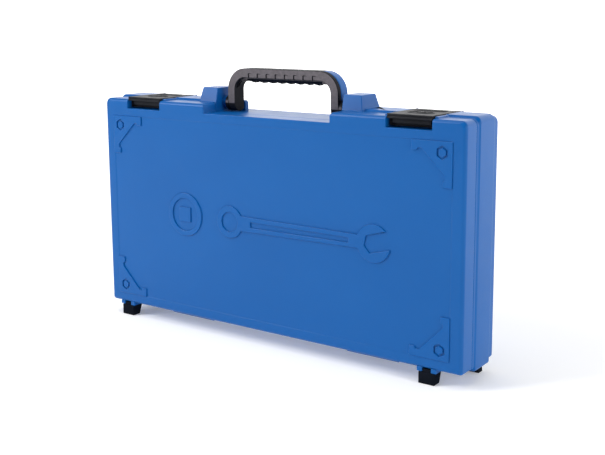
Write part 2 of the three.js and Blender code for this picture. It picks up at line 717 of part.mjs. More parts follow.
function ratchetBody() {
  const { gearX, pawlX, z, front, back } = RATCHET;
  const head = prism(pear(0), "y", front, back, 4);
  const neck = turned("x", [
    [pawlX + 6, 9],
    [-130, 6.4],
    [RATCHET.gripFrom - 4, 7.6],
    [RATCHET.gripFrom, 7.6],
    [RATCHET.gripFrom + 0.1, 5.5],
    [38, 5.5],
    [39, 4.5],
  ], DEEP_Y, z, 16);
  const coverSeat = prism(pear(2.2), "y", front - 1, front + RATCHET.cover + GAP, 4);
  const gearRoom = rod("y", 14.5, front - 1, back - 2.5, gearX, z, 20);
  const pawlRoom = rod("y", 8.4, front - 1, back - 2.5, pawlX, z);
  const between = box(gearX, pawlX, front - 1, back - 2.5, z - 5, z + 5);
  const driveHole = rod("y", 9.8, back - 4, back + 1, gearX, z, 16);
  pockets.push((grow) => prism(pear(-grow), "y", 10, back + grow, 4));
  pockets.push((grow) => well(gearX, z, 10, 57, grow));
  pockets.push((grow) => trough("x", pawlX, RATCHET.gripFrom, z, 9.2, DEEP_Y, grow));
  pockets.push((grow) => trough("x", RATCHET.gripFrom, RATCHET.gripTo, z, 14.2, DEEP_Y, grow));
  return less(head.add(neck), coverSeat, gearRoom, pawlRoom, between, driveHole);
}

function ratchetCover() {
  const { gearX, pawlX, z, front, cover } = RATCHET;
  const plate = prism(pear(2.5), "y", front, front + cover, 4);
  return less(plate, rod("y", 4.8, 10, 30, gearX, z, 16), rod("y", 3.4, 10, 30, pawlX, z, 12));
}

function ratchetGear() {
  const { gearX, z, front, back, teeth, gearRadius } = RATCHET;
  const points = [];
  for (let i = 0; i < teeth * 2; i += 1) {
    const radius = i % 2 ? gearRadius - 1.6 : gearRadius;
    const angle = (i * Math.PI) / teeth;
    points.push(new THREE.Vector2(gearX + radius * Math.cos(angle), z + radius * Math.sin(angle)));
  }
  const gear = prism(new THREE.Shape(points), "y", front + 2.4, back - 2.9);
  const journal = rod("y", 9.4, back - 3.5, back + 1, gearX, z, 16);
  const square = squareBar("y", DRIVE, back + 0.5, back + 15.5, gearX, z);
  return joined([gear, journal, square]).subtract(rod("y", 2.6, 10, back + 7, gearX, z, 12));
}

function ratchetPawl() {
  const { pawlX, z, front, back } = RATCHET;
  const outline = new THREE.Shape();
  outline.absarc(pawlX, z, 7.6, 0.75 * Math.PI, 1.25 * Math.PI);
  outline.lineTo(pawlX + 3.6, z - 4.4);
  outline.lineTo(pawlX + 5, z);
  outline.lineTo(pawlX + 3.6, z + 4.4);
  return prism(outline, "y", front + 2.4, back - 3).subtract(rod("y", 3.3, 10, 50, pawlX, z, 12));
}

function ratchetLever() {
  const { pawlX, z, front, back } = RATCHET;
  const hub = turned("y", [
    [front - 3.4, 5.6],
    [front - 2.6, 6.6],
    [front - GAP, 6.6],
  ], pawlX, z);
  const shaft = rod("y", 3, front - 1, back - 4, pawlX, z, 12);
  const outline = new THREE.Shape();
  const [across, along] = [2.6, 15];
  const [cos, sin] = [Math.cos(LEVER_REST), Math.sin(LEVER_REST)];
  const corner = (u, v) => [pawlX + u * cos - v * sin, z + u * sin + v * cos];
  outline.moveTo(...corner(0, -across - 1.4));
  outline.lineTo(...corner(along, -across));
  outline.lineTo(...corner(along + 1.6, 0));
  outline.lineTo(...corner(along, across));
  outline.lineTo(...corner(0, across + 1.4));
  return joined([hub, shaft, prism(outline, "y", front - 3, front - 0.8)]);
}

function ratchetButton() {
  const { gearX, z, front, back } = RATCHET;
  const head = turned("y", [
    [front - 3.6, 3.2],
    [front - 3, 4.2],
    [front - 0.2, 4.2],
  ], gearX, z, 16);
  return head.add(rod("y", 2.2, front - 1, back + 3, gearX, z, 12));
}

function ratchetGrip() {
  const { z, gripFrom, gripTo } = RATCHET;
  const grip = turned("x", [
    [gripFrom + GAP, 9.4],
    [gripFrom + 2, 11],
    [gripFrom + 12, 13.6],
    [gripFrom + 40, 12.2],
    [gripTo - 40, 13.4],
    [gripTo - 12, 14.2],
    [gripTo - 3, 12.5],
    [gripTo, 9],
  ], DEEP_Y, z);
  const neckRoom = rod("x", 7.6 + GAP, gripFrom - 1, gripFrom + 0.4, DEEP_Y, z, 16);
  return less(grip, neckRoom, rod("x", 5.5 + GAP, gripFrom - 1, 39.5, DEEP_Y, z, 16));
}

// ---- tray and lid pad ----
function toolTray() {
  const { half, bottom, top, skin, wall, floor } = TRAY;
  const sheet = box(-half, half, skin, skin + 2, bottom, top);
  const rim = box(-half, half, skin, TRAY.rim, bottom, top)
    .subtract(box(wall - half, half - wall, skin - 1, floor + 1, bottom + wall, top - wall));
  const room = box(-half, half, skin, TRAY.rim, bottom, top)
    .add(box(6 - half, half - 6, skin, floor + 0.4, bottom, top));
  const outside = joined(pockets.map((pocket) => pocket(PLAY + wall))).intersect(room);
  const inside = joined(pockets.map((pocket) => pocket(PLAY)));
  return joined([sheet, rim, outside]).subtract(inside);
}

// ---- assembly ----
part("lid_shell", lidShell(), BLUE);
part("lid_pad", box(-196, 196, WALL + GAP, WALL + GAP + 3, 14, 200), FOAM);
part("base_shell", baseShell(), BLUE);
part("handle_frame", handleFrame(), BLUE);
part("handle_grip", handleGrip(), GRIP);

for (const [index, side] of MIRRORED.entries()) {
  const hand = ["left", "right"][index];
  const centre = side * LATCH.centre;
  const latchHalf = LATCH.width / 2;
  part(`latch_${hand}`, latch(side), BLACK);
  const pins = {
    latch: [LATCH_PIN.radius, centre - latchHalf, centre + latchHalf, LATCH_PIN.y, LATCH_PIN.z],
    handle: [PIVOT.radius, ...span(side, 60.6, 83.6), PIVOT.y, PIVOT.z],
    hinge: [HINGE.pin, ...span(side, HINGE.centre - HINGE.half, HINGE.centre + HINGE.half),
      HINGE.y, HINGE.z],
  };
  for (const [name, sizes] of Object.entries(pins)) {
    part(`${name}_pin_${hand}`, rod("x", ...sizes), STEEL);
  }
  part(`front_foot_${hand}`, lidFoot(LID_FEET[index]), BLACK);
  part(`rear_foot_${hand}`, baseFoot(BASE_FEET[index]), BLACK);
}

part("ratchet_body", ratchetBody(), CHROME);
part("ratchet_cover", ratchetCover(), CHROME);
part("ratchet_gear", ratchetGear(), STEEL);
part("ratchet_pawl", ratchetPawl(), STEEL);
part("ratchet_lever", ratchetLever(), BLACK);
part("ratchet_button", ratchetButton(), CHROME);
part("ratchet_grip", ratchetGrip(), BLACK);
part("extension_bar_250", extension(-192, 250, 146, 11), CHROME);
part("extension_bar_125", extension(68, 125, 146), CHROME);
part("extension_bar_75", extension(78, 75, 27), CHROME);
part("t_bar", slidingBar(), CHROME);
part("t_bar_head", slidingHead(), CHROME);
part("universal_socket_yoke", cardanSocketYoke(), CHROME);
part("universal_cross", cardanCross(), STEEL);
part("universal_drive_yoke", cardanDriveYoke(), CHROME);
socketRow(SOCKET_SIZES[0], -201, 92, SMALL_SOCKET);
socketRow(SOCKET_SIZES[1], -201, 40, LARGE_SOCKET);
part("plug_socket_16mm", socket(16, 92, 65, PLUG_SOCKET), CHROME);
part("plug_socket_21mm", socket(21, 124, 65, PLUG_SOCKET), CHROME);
part("tool_tray", toolTray(), TRAY_GREY);

export default group;
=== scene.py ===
"""A half-inch socket wrench set in its blue carrying case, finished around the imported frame.

A piece is built in millimetres in the case's own frame: x to the right, y back from the
lid's outer face and z up from the lid's bottom edge. finished() turns it into the row frame.
"""

import math

import bmesh
import bpy
from mathutils import Matrix, Vector


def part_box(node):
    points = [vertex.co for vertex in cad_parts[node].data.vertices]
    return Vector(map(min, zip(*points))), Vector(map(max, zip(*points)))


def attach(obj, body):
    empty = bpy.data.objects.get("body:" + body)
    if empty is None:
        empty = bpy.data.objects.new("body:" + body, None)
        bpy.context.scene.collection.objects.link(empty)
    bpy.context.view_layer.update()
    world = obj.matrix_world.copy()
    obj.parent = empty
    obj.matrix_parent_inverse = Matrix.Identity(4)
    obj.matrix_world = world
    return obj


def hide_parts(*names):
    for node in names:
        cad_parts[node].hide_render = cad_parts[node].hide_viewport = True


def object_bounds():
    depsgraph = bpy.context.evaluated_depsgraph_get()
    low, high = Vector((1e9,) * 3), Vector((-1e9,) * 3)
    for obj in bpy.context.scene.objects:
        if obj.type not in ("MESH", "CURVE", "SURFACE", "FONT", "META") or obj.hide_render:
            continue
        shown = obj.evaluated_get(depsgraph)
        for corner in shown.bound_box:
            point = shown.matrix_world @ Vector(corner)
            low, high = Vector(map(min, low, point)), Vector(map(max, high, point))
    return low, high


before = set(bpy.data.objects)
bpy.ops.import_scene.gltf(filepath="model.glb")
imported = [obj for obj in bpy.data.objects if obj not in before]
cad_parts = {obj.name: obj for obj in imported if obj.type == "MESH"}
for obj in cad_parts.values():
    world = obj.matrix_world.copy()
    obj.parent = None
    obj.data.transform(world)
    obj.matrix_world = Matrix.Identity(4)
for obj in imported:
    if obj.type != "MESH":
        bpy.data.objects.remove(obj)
cad_low, cad_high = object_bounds()

# ---- driving dimensions, in millimetres in the case's frame ----
MM = 0.001
SIDES = (-1, 1)  # left and right
HANDS = ("left", "right")
FOOT_DROP = 14.0
LID_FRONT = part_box("lid_shell")[0].y
TO_ROW = Matrix.Translation((0, LID_FRONT, cad_low.z + FOOT_DROP * MM)) @ Matrix.Scale(MM, 4)
TO_CASE = TO_ROW.inverted()


def case_box(node):
    """Lowest and highest corners of a CAD node in the case's frame, in millimetres."""
    low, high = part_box(node)
    return TO_CASE @ low, TO_CASE @ high


def middle(node, axis):
    """Where the middle of a CAD node lies along "x", "y" or "z"."""
    return sum(getattr(corner, axis) for corner in case_box(node)) / 2


HALF = case_box("lid_shell")[1].x  # half the width
DEPTH = case_box("base_shell")[1].y
TOP = 218.0
SEAM = 19.5  # the plane where lid and base meet
GAP = 0.3  # clearance between pieces that meet or move
WALL = 2.4
CORNER, LOW_CORNER = 6.0, 2.5
OUTLINE = (HALF, 0, TOP, CORNER)
LID_FILLET = 3.5
BACK_FILLET = 2.5
STEP_IN = 0.3  # the base behind its ridge is smaller by this much
RIDGE_FRONT, RIDGE_BACK, RIDGE_RISE, RIDGE_DROP, RIDGE_SIDE = 25.0, 51.5, 2.0, 3.0, 1.0
RECESS_HALF, RECESS_FLOOR = 74.5, 208.7
LATCH_CENTRE, LATCH_NOTCH, LATCH_FLOOR, LATCH_CHANNEL = 155.4, 45.2, 208.3, 213.2
LATCH_PIN_Y, LATCH_PIN_Z, LATCH_BARREL = 56.2, 216.9, 3.0
PIVOT_Y, PIVOT_Z = 36.0, 217.6
PIN_RADIUS = {"latch": 1.3, "handle": 2.5, "hinge": 1.5}
BORE = {kind: radius + GAP for kind, radius in PIN_RADIUS.items()}
HANDLE_HALF, HANDLE_TOP, HANDLE_FRONT, HANDLE_BACK, HANDLE_CORNER = 65.5, 252.0, 27.7, 44.3, 21.0
LEG, BAR, UNDER = 8.5, 9.0, 12.5  # the handle's widths seen from the front
BOW_FRONT, BOW_SKIN, BOW_LEG, BOW_BAR = 33.4, 2.0, 5.0, 6.2
STRAIGHT = HANDLE_HALF - HANDLE_CORNER  # half the length of the handle's straight bar
RIB_COUNT, RIB_PITCH, RIB_SHIFT = 8, 10.9, -1.6
PAINTED_LIGHT_FROM, PAINTED_LIGHT_BLEND = 0.2318, 0.0006  # the grip's front is painted pale as if lit from this height up, in metres above the floor; below it, painted dark as in shade
HINGE_Y, HINGE_Z, HINGE_RADIUS = 19.5, -4.3, 3.1
HINGE_CENTRE, HINGE_HALF, HINGE_LID_HALF = 110.0, 28.0, 13.7
PANEL_MARGIN, PANEL_BOTTOM, PANEL_TOP, PANEL_DEPTH = 11.9, 10.0, 200.3, 0.5
PEG_HALF, FRONT_PEG, REAR_PEG = 3.0, (4.0, 10.0, 4.2), (48.5, 53.5, 5.2)  # front, back and top
RELIEF, RELIEF_ROOT = 0.9, 1.7  # how far the lid's reliefs stand out, and reach in
SHELL_CUTS = [side * x for side in SIDES for x in (20, 62, 84, 118, 150, 186)]
TOOL_Y, DEEP_Y = 34.5, 31.0  # planes of the tools' axes
SQUARE, SQUARE_HOLE = 12.6, 13.1


# ---- materials ----
class Nodes:
    """A material's node tree, with each node made by one short call."""

    def __init__(self, name):
        self.material = bpy.data.materials.new(name)
        self.material.use_nodes = True
        self.tree = self.material.node_tree
        self.tree.nodes.clear()
        self.shader = self.add("BsdfPrincipled", {})
        self.add("OutputMaterial", {"Surface": self.shader.outputs[0]})
        place = self.add("TexCoord", {})
        self.place = place.outputs["Object"]
        self.normal = place.outputs["Normal"]

    def fill(self, node, inputs):
        """Gives inputs, by name or number, a value or the output that feeds them."""
        for key, value in inputs.items():
            if isinstance(value, bpy.types.NodeSocket):
                self.tree.links.new(value, node.inputs[key])
            else:
                node.inputs[key].default_value = value

    def add(self, kind, inputs, **settings):
        node = self.tree.nodes.new("ShaderNode" + kind)
        for name, value in settings.items():
            setattr(node, name, value)
        self.fill(node, inputs)
        return node

    def noise(self, scale, detail=2.0, stretch=(1, 1, 1)):
        place = self.add("Mapping", {"Vector": self.place, "Scale": stretch}).outputs[0]
        node = self.add("TexNoise", {"Vector": place, "Scale": scale, "Detail": detail})
        return node.outputs["Fac"]

    def cells(self, scale):
        return self.add("TexVoronoi", {"Vector": self.place, "Scale": scale}).outputs["Distance"]

    def ramp(self, source, *stops):
        node = self.add("ValToRGB", {0: source})
        elements = node.color_ramp.elements
        for element, (at, color) in zip(elements, stops):
            element.position = at
            element.color = (*color, 1) if isinstance(color, tuple) else (color, color, color, 1)
        return node.outputs[0]

    def mix(self, factor, first, second):
        return self.add("Mix", {0: factor, 6: first, 7: second}, data_type="RGBA").outputs[2]

    def product(self, first, second):
        return self.add("Math", {0: first, 1: second}, operation="MULTIPLY").outputs[0]

    def mapped(self, source, low, high, to_low=0.0, to_high=1.0):
        """A value between low and high, stretched to between to_low and to_high."""
        reach = {"From Min": low, "From Max": high, "To Min": to_low, "To Max": to_high}
        return self.add("MapRange", {"Value": source, **reach}).outputs[0]

    def facing(self, axis, low, high):
        """0 to 1 as the surface turns towards an axis of the object."""
        node = self.add("VectorMath", {0: self.normal, 1: axis}, operation="DOT_PRODUCT")
        return self.mapped(node.outputs["Value"], low, high)

    def along(self, axis):
        """The place along "X", "Y" or "Z" in the row frame, in metres."""
        return self.add("SeparateXYZ", {"Vector": self.place}).outputs[axis]

    def bump(self, height, distance, strength=1.0, **below):
        """A bumped normal; Normal= names the bump that lies below it."""
        inputs = {"Height": height, "Distance": distance, "Strength": strength, **below}
        return self.add("Bump", inputs).outputs[0]

    def done(self, color, roughness, normal=None, **plain):
        inputs = {"Base Color": color, "Roughness": roughness}
        if normal is not None:
            inputs["Normal"] = normal
        for name, value in plain.items():
            inputs[name.replace("_", " ")] = value
        self.fill(self.shader, inputs)
        return self.material


def blue_plastic():
    """Moulded polypropylene: fine grain, shallow waves, and faint changes of colour and gloss."""
    n = Nodes("case_blue")
    broad = n.noise(9, 3, (1, 1, 1.6))
    color = n.ramp(broad, (0.3, (0.0015, 0.098, 0.355)), (0.7, (0.0025, 0.106, 0.375)))
    grain = n.noise(1500, 3)
    roughness = n.ramp(n.noise(60, 4), (0.3, 0.29), (0.7, 0.35))
    waves = n.bump(n.noise(26, 2), 0.0006, 0.25)
    normal = n.bump(grain, 0.00006, 0.5, Normal=waves)
    return n.done(color, roughness, normal, IOR=1.49, Specular_IOR_Level=0.22)


def black_plastic(name, dark, light, rough=(0.4, 0.5), grain=1300, depth=0.00008, gloss=0.14):
    """Moulded black plastic with a fine grain."""
    n = Nodes(name)
    color = n.ramp(n.noise(40, 4), (0.35, dark), (0.65, light))
    roughness = n.ramp(n.noise(160, 3), (0.3, rough[0]), (0.7, rough[1]))
    return n.done(color, roughness, n.bump(n.noise(grain, 3), depth, 0.6), Specular_IOR_Level=gloss)


def grip_plastic():
    """The handle's grip: the front of its bar is pale and speckled, a painted lit look over its matt
    texture; its other faces and the ribs are painted dark as shade.
    """
    n = Nodes("grip_black")
    speckle = n.noise(420, 4)
    painted_lit_front = n.ramp(speckle, (0.3, (0.115, 0.105, 0.115)), (0.7, (0.15, 0.137, 0.15)))
    painted_shade_color = n.ramp(n.noise(30, 2), (0.3, (0.006, 0.007, 0.010)), (0.7, (0.010, 0.011, 0.015)))
    # Painted light and shade: faces that turn to the front, above a set height, take the pale lit colour;
    # the rest of the grip takes the dark shade colour.
    above = n.mapped(n.along("Z"), PAINTED_LIGHT_FROM - PAINTED_LIGHT_BLEND, PAINTED_LIGHT_FROM)
    front = n.product(n.facing((0, -1, 0), 0.93, 0.985), above)
    color = n.mix(front, painted_shade_color, painted_lit_front)
    roughness = n.ramp(n.noise(90, 3), (0.3, 0.42), (0.7, 0.52))
    return n.done(color, roughness, n.bump(n.cells(900), 0.00012, 0.35), Specular_IOR_Level=0.06)


def foam():
    n = Nodes("pad_foam")
    color = n.ramp(n.cells(900), (0.0, (0.014, 0.015, 0.018)), (0.6, (0.045, 0.048, 0.055)))
    roughness = n.ramp(n.noise(200, 2), (0.3, 0.85), (0.7, 0.95))
    return n.done(color, roughness, n.bump(n.cells(1100), 0.0004, 0.7))


def chrome():
    """Polished chrome plate over turned steel, with fine turning marks and faint smears."""
    n = Nodes("chrome")
    color = n.ramp(n.noise(35, 3), (0.3, (0.74, 0.75, 0.77)), (0.7, (0.82, 0.83, 0.85)))
    roughness = n.ramp(n.noise(70, 5), (0.3, 0.1), (0.7, 0.22))
    return n.done(color, roughness, n.bump(n.noise(700, 3), 0.00001, 0.5), Metallic=1.0)


def steel(name, stretch):
    """Ground steel with fine parallel marks along one axis."""
    n = Nodes(name)
    marks = n.noise(500, 4, stretch)
    color = n.ramp(marks, (0.3, (0.36, 0.36, 0.38)), (0.7, (0.52, 0.52, 0.54)))
    roughness = n.ramp(marks, (0.3, 0.26), (0.7, 0.4))
    return n.done(color, roughness, n.bump(marks, 0.00002, 0.5), Metallic=1.0)


BLUE = blue_plastic()
GRIP = grip_plastic()
LATCH_BLACK = black_plastic("latch_black", (0.012, 0.013, 0.017), (0.020, 0.021, 0.026), gloss=0.1)
FOOT_BLACK = black_plastic(
    "foot_black", (0.006, 0.008, 0.013), (0.009, 0.011, 0.017), rough=(0.55, 0.65), gloss=0.01)
RATCHET_BLACK = black_plastic("ratchet_black", (0.008, 0.008, 0.009), (0.016, 0.016, 0.018))
TRAY_GREY = black_plastic("tray_grey", (0.028, 0.032, 0.04), (0.045, 0.05, 0.06), (0.5, 0.62), 700)
FOAM = foam()
CHROME = chrome()
TOOL_STEEL = steel("tool_steel", (1, 0.05, 1))
PIN_STEEL = steel("pin_steel", (0.05, 1, 1))


# ---- solids ----
def placed(name, data):
    """A new object in the scene."""
    obj = bpy.data.objects.new(name, data)
    bpy.context.scene.collection.objects.link(obj)
    return obj


def solid(points, faces):
    mesh = bpy.data.meshes.new("solid")
    mesh.from_pydata(points, [], faces)
    bm = bmesh.new()
    bm.from_mesh(mesh)
    bmesh.ops.recalc_face_normals(bm, faces=bm.faces)
    bm.to_mesh(mesh)
    bm.free()
    return placed("solid", mesh)


def loft(rings):
    """A closed skin over rings of equal count, with a face over each end."""
    count = len(rings[0])
    points = [p for ring in rings for p in ring]
    faces = []
    for start in range(0, (len(rings) - 1) * count, count):
        for i in range(count):
            j = (i + 1) % count
            faces.append((start + i, start + j, start + count + j, start + count + i))
    last = (len(rings) - 1) * count
    faces.append(tuple(range(count)))
    faces.append(tuple(range(last, last + count)))
    return solid(points, faces)


PLACES = {
    "x": lambda u, v, w: (w, u, v),
    "y": lambda u, v, w: (u, w, v),
    "z": lambda u, v, w: (u, v, w),
}


def prism(outline, axis, low, high):
    """An outline extruded along an axis: (y, z) along x, (x, z) along y, (x, y) along z."""
    place = PLACES[axis]
    return loft([[place(u, v, w) for u, v in outline] for w in (low, high)])


def box(x0, x1, y0, y1, z0, z1):
    return prism([(x0, z0), (x1, z0), (x1, z1), (x0, z1)], "y", y0, y1)


def arc(u, v, radius, start, end, steps):
    """Points along an arc, with its angles in degrees."""
    points = []
    for i in range(steps + 1):
        angle = math.radians(start + (end - start) * i / steps)
        points.append((u + radius * math.cos(angle), v + radius * math.sin(angle)))
    return points


def circle(u, v, radius, sides, turn=0.0):
    return arc(u, v, radius, turn, turn + 360 - 360 / sides, sides - 1)


def rod(axis, radius, low, high, u, v, sides=32):
    return prism(circle(u, v, radius, sides), axis, low, high)


def lathe(axis, stations, u, v, sides=48, turn=0.0):
    """A solid of revolution from (position, radius) stations along an axis."""
    place = PLACES[axis]
    return loft([[place(a, b, at) for a, b in circle(u, v, radius, sides, turn)] for at, radius in stations])


def square_bar(axis, size, low, high, u, v):
    return prism(circle(u, v, size / math.sqrt(2), 4, 45), axis, low, high)


def both_ends(low, high, ends):
    """Stations from (distance from an end, radius) pairs, the same at both ends."""
    far = [(high - distance, radius) for distance, radius in reversed(ends)]
    return [(low + distance, radius) for distance, radius in ends] + far


def driving_square(axis, low, high, u, v, tip=1):
    """A driving square with a chamfered tip, at its high end or, with tip=-1, at its low end."""
    corner = SQUARE / math.sqrt(2)
    stations = [(low, corner), (high - 1.2, corner), (high, 0.86 * corner)]
    if tip < 0:
        stations = [(low, 0.86 * corner), (low + 1.2, corner), (high, corner)]
    return lathe(axis, stations, u, v, 4, 45)


def square_mouth(axis, at, inward, u, v):
    """The cone that opens a square hole, at its end; inward is 1 or -1 along the axis."""
    stations = [(at - 0.3 * inward, 9.6), (at + 1.2 * inward, 8.1)]
    return lathe(axis, sorted(stations), u, v)


def combined(operation, body, others):
    for other in others:
        modifier = body.modifiers.new("solid", "BOOLEAN")
        modifier.operation = operation
        modifier.solver = "MANIFOLD"
        modifier.object = other
    graph = bpy.context.evaluated_depsgraph_get()
    mesh = bpy.data.meshes.new_from_object(body.evaluated_get(graph))
    body.modifiers.clear()
    body.data = mesh
    for other in others:
        bpy.data.objects.remove(other)
    return body


def joined(body, *others):
    return combined("UNION", body, others)


def less(body, *cuts):
    return combined("DIFFERENCE", body, cuts)


def common(body, *others):
    return combined("INTERSECT", body, others)


def duplicate(obj):
    return placed("solid", obj.data.copy())


def span(side, near, far, centre=0):
    """A range to the right of a centre, or its mirror image to the left."""
    return (centre + near, centre + far) if side > 0 else (centre - far, centre - near)


def mirrored(side, outline):
    """An outline that is drawn for the right side, or its mirror image on the left."""
    return [(side * x, z) for x, z in outline]


def rectangle(half, bottom, top, radius, y, steps=6):
    """One ring of a rounded rectangle in the plane y, with its lower corners rounded less."""
    low = min(radius, LOW_CORNER)
    corners = [
        (low - half, bottom + low, 180, low),
        (half - low, bottom + low, 270, low),
        (half - radius, top - radius, 0, radius),
        (radius - half, top - radius, 90, radius),
    ]
    ring = []
    for x, z, start, r in corners:
        ring += [(u, y, v) for u, v in arc(x, z, r, start, start + 90, steps)]
    return ring


def filleted(face_y, towards, fillet, half, bottom, top, radius, steps=6):
    """Rings from a flat face back to the full outline round a filleted edge."""
    rings = []
    for i in range(steps + 1):
        angle = math.radians(90 * i / steps)
        inset = fillet * (1 - math.sin(angle))
        y = face_y + towards * fillet * (1 - math.cos(angle))
        corner = max(radius - inset * 0.5, 1)
        rings.append(rectangle(half - inset, bottom + inset, top - inset, corner, y))
    return rings


def dent(body, outer, xs, ys, zs, wall):
    """A box-shaped dent with its own wall inside a hollow shell."""
    lining = box(xs[0] - wall, xs[1] + wall, ys[0] - wall, ys[1] + wall, zs[0] - wall, zs[1] + wall)
    lining = common(lining, duplicate(outer))
    return less(joined(body, lining), box(*xs, *ys, *zs))


# ---- finishing ----
def tidy(obj, places, flat=0.4):
    """Joins faces that lie in one plane, drops slivers and cuts the faces across x at places.

    The cuts keep a face from running round an opening, which rounding its edges would fill.
    """
    bm = bmesh.new()
    bm.from_mesh(obj.data)
    bmesh.ops.remove_doubles(bm, verts=bm.verts, dist=0.004)
    bmesh.ops.dissolve_degenerate(bm, edges=bm.edges, dist=0.004)
    bmesh.ops.dissolve_limit(bm, angle_limit=math.radians(flat), verts=bm.verts, edges=bm.edges)
    for x in places:
        geometry = [*bm.verts, *bm.edges, *bm.faces]
        bmesh.ops.bisect_plane(bm, geom=geometry, dist=0.002, plane_co=(x, 0, 0), plane_no=(1, 0, 0))
    bm.to_mesh(obj.data)
    bm.free()


def finished(obj, name, body, material, nodes=(), edge=0.5, segments=2, angle=34, places=()):
    """Rounds a solid's edges, turns it into the row frame and hangs it on its body."""
    tidy(obj, places)
    obj.name = name
    obj.data.transform(TO_ROW)
    obj.data.shade_smooth()
    if edge:
        rounding = obj.modifiers.new("edges", "BEVEL")
        rounding.width = edge * MM
        rounding.segments = segments
        rounding.limit_method = "ANGLE"
        rounding.angle_limit = math.radians(angle)
        rounding.use_clamp_overlap = False
        rounding.miter_outer = "MITER_ARC"
    normals = obj.modifiers.new("normals", "WEIGHTED_NORMAL")
    normals.keep_sharp = True
    obj.data.materials.clear()
    obj.data.materials.append(material)
    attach(obj, body)
    if nodes:
        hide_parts(*nodes)
    return obj


# ---- case ----
LID_BACK = SEAM - GAP / 2
BASE_FRONT = SEAM + GAP / 2
LID_FEET = [middle(f"front_foot_{hand}", "x") for hand in HANDS]
BASE_FEET = [middle(f"rear_foot_{hand}", "x") for hand in HANDS]


def knuckle(low, high, web_front, web_back):
    """A length of the hinge's barrel and the web that carries it."""
    web = box(low, high, web_front, web_back, HINGE_Z, 1)
    return joined(rod("x", HINGE_RADIUS, low, high, HINGE_Y, HINGE_Z), web)


def hinge_bore():
    return rod("x", BORE["hinge"], -HALF, HALF, HINGE_Y, HINGE_Z)


def peg_hole(x, peg):
    """Room in a shell for the peg of a foot."""
    front, back, top = peg
    return box(x - PEG_HALF - GAP, x + PEG_HALF + GAP, front - GAP, back + GAP, -5, top + 0.8)


def latch_notch(side):
    return span(side, LATCH_CENTRE - LATCH_NOTCH / 2, LATCH_CENTRE + LATCH_NOTCH / 2)


def latch_ledges(side, low, high):
    """Low rails along both sides of a latch."""
    rails = []
    for edge in SIDES:
        inner = LATCH_CENTRE + edge * LATCH_NOTCH / 2
        profile = [(0, TOP - 4), (0, TOP + 1.6), (3.2, TOP + 1.6), (4.6, TOP - 4)]
        outline = mirrored(side, [(inner + edge * out, z) for out, z in profile])
        rails.append(prism(outline, "y", low, high))
    return rails


def lid_shell():
    outer = loft([*filleted(0, 1, LID_FILLET, *OUTLINE), rectangle(*OUTLINE, LID_BACK)])
    body = less(duplicate(outer), box(WALL - HALF, HALF - WALL, WALL, SEAM + 1, WALL, TOP - WALL))
    body = dent(body, outer, (-RECESS_HALF, RECESS_HALF), (-5, SEAM + 5), (RECESS_FLOOR, TOP + 5), WALL)
    for side in SIDES:
        rounding = arc(RECESS_HALF + 3.5, TOP - 3.5, 3.5, 180, 90, 8)
        corner = [(RECESS_HALF, TOP + 1), *rounding, (RECESS_HALF + 3.5, TOP + 1)]
        body = less(body, prism(mirrored(side, corner), "y", -5, SEAM + 5))
        notch = latch_notch(side)
        body = dent(body, outer, notch, (-5, SEAM + 5), (LATCH_FLOOR, TOP + 5), WALL)
        keeper = box(notch[0] + 6, notch[1] - 6, 11, 12.5, LATCH_FLOOR - 1, LATCH_FLOOR + 1.2)
        centre = side * HINGE_CENTRE
        loop = knuckle(centre - HINGE_LID_HALF, centre + HINGE_LID_HALF, 13.5, LID_BACK)
        body = joined(body, keeper, *latch_ledges(side, 5, LID_BACK), loop)
    for x in LID_FEET:
        for side in SIDES:
            body = joined(body, box(*span(side, 4.4, 9.6, x), 0, 14, -3, 1))
        body = less(body, peg_hole(x, FRONT_PEG))
    panel = []
    for depth, radius in ((-0.3, 1.6), (PANEL_DEPTH, 1.2)):
        bottom, top = PANEL_BOTTOM + depth, PANEL_TOP - depth
        panel.append(rectangle(HALF - PANEL_MARGIN - depth, bottom, top, radius, depth, 3))
    body = less(body, hinge_bore(), loft(panel))
    bpy.data.objects.remove(outer)
    return body


def base_outer():
    """The base's outside: level with the lid, then the ridge round it, then the rear."""
    ridge = (HALF + RIDGE_SIDE, -RIDGE_DROP, TOP + RIDGE_RISE, CORNER)
    rear = (HALF - STEP_IN, STEP_IN, TOP - STEP_IN, CORNER)
    return loft([
        rectangle(*OUTLINE, BASE_FRONT),
        rectangle(*OUTLINE, RIDGE_FRONT - 1.5),
        rectangle(*ridge, RIDGE_FRONT),
        rectangle(*ridge, RIDGE_BACK),
        rectangle(*rear, RIDGE_BACK + 1.5),
        *reversed(filleted(DEPTH, -1, BACK_FILLET, *rear)),
    ])


def latch_lugs(side):
    """The two lugs that hold a latch's pin."""
    front, back = LATCH_PIN_Y - LATCH_BARREL, LATCH_PIN_Y + LATCH_BARREL
    lugs = []
    for end in SIDES:
        reach = span(end, 14.5, LATCH_NOTCH / 2 + 0.5, side * LATCH_CENTRE)
        lugs.append(rod("x", LATCH_BARREL, *reach, LATCH_PIN_Y, LATCH_PIN_Z))
        lugs.append(box(*reach, front, back, LATCH_CHANNEL - 1, LATCH_PIN_Z))
    return lugs


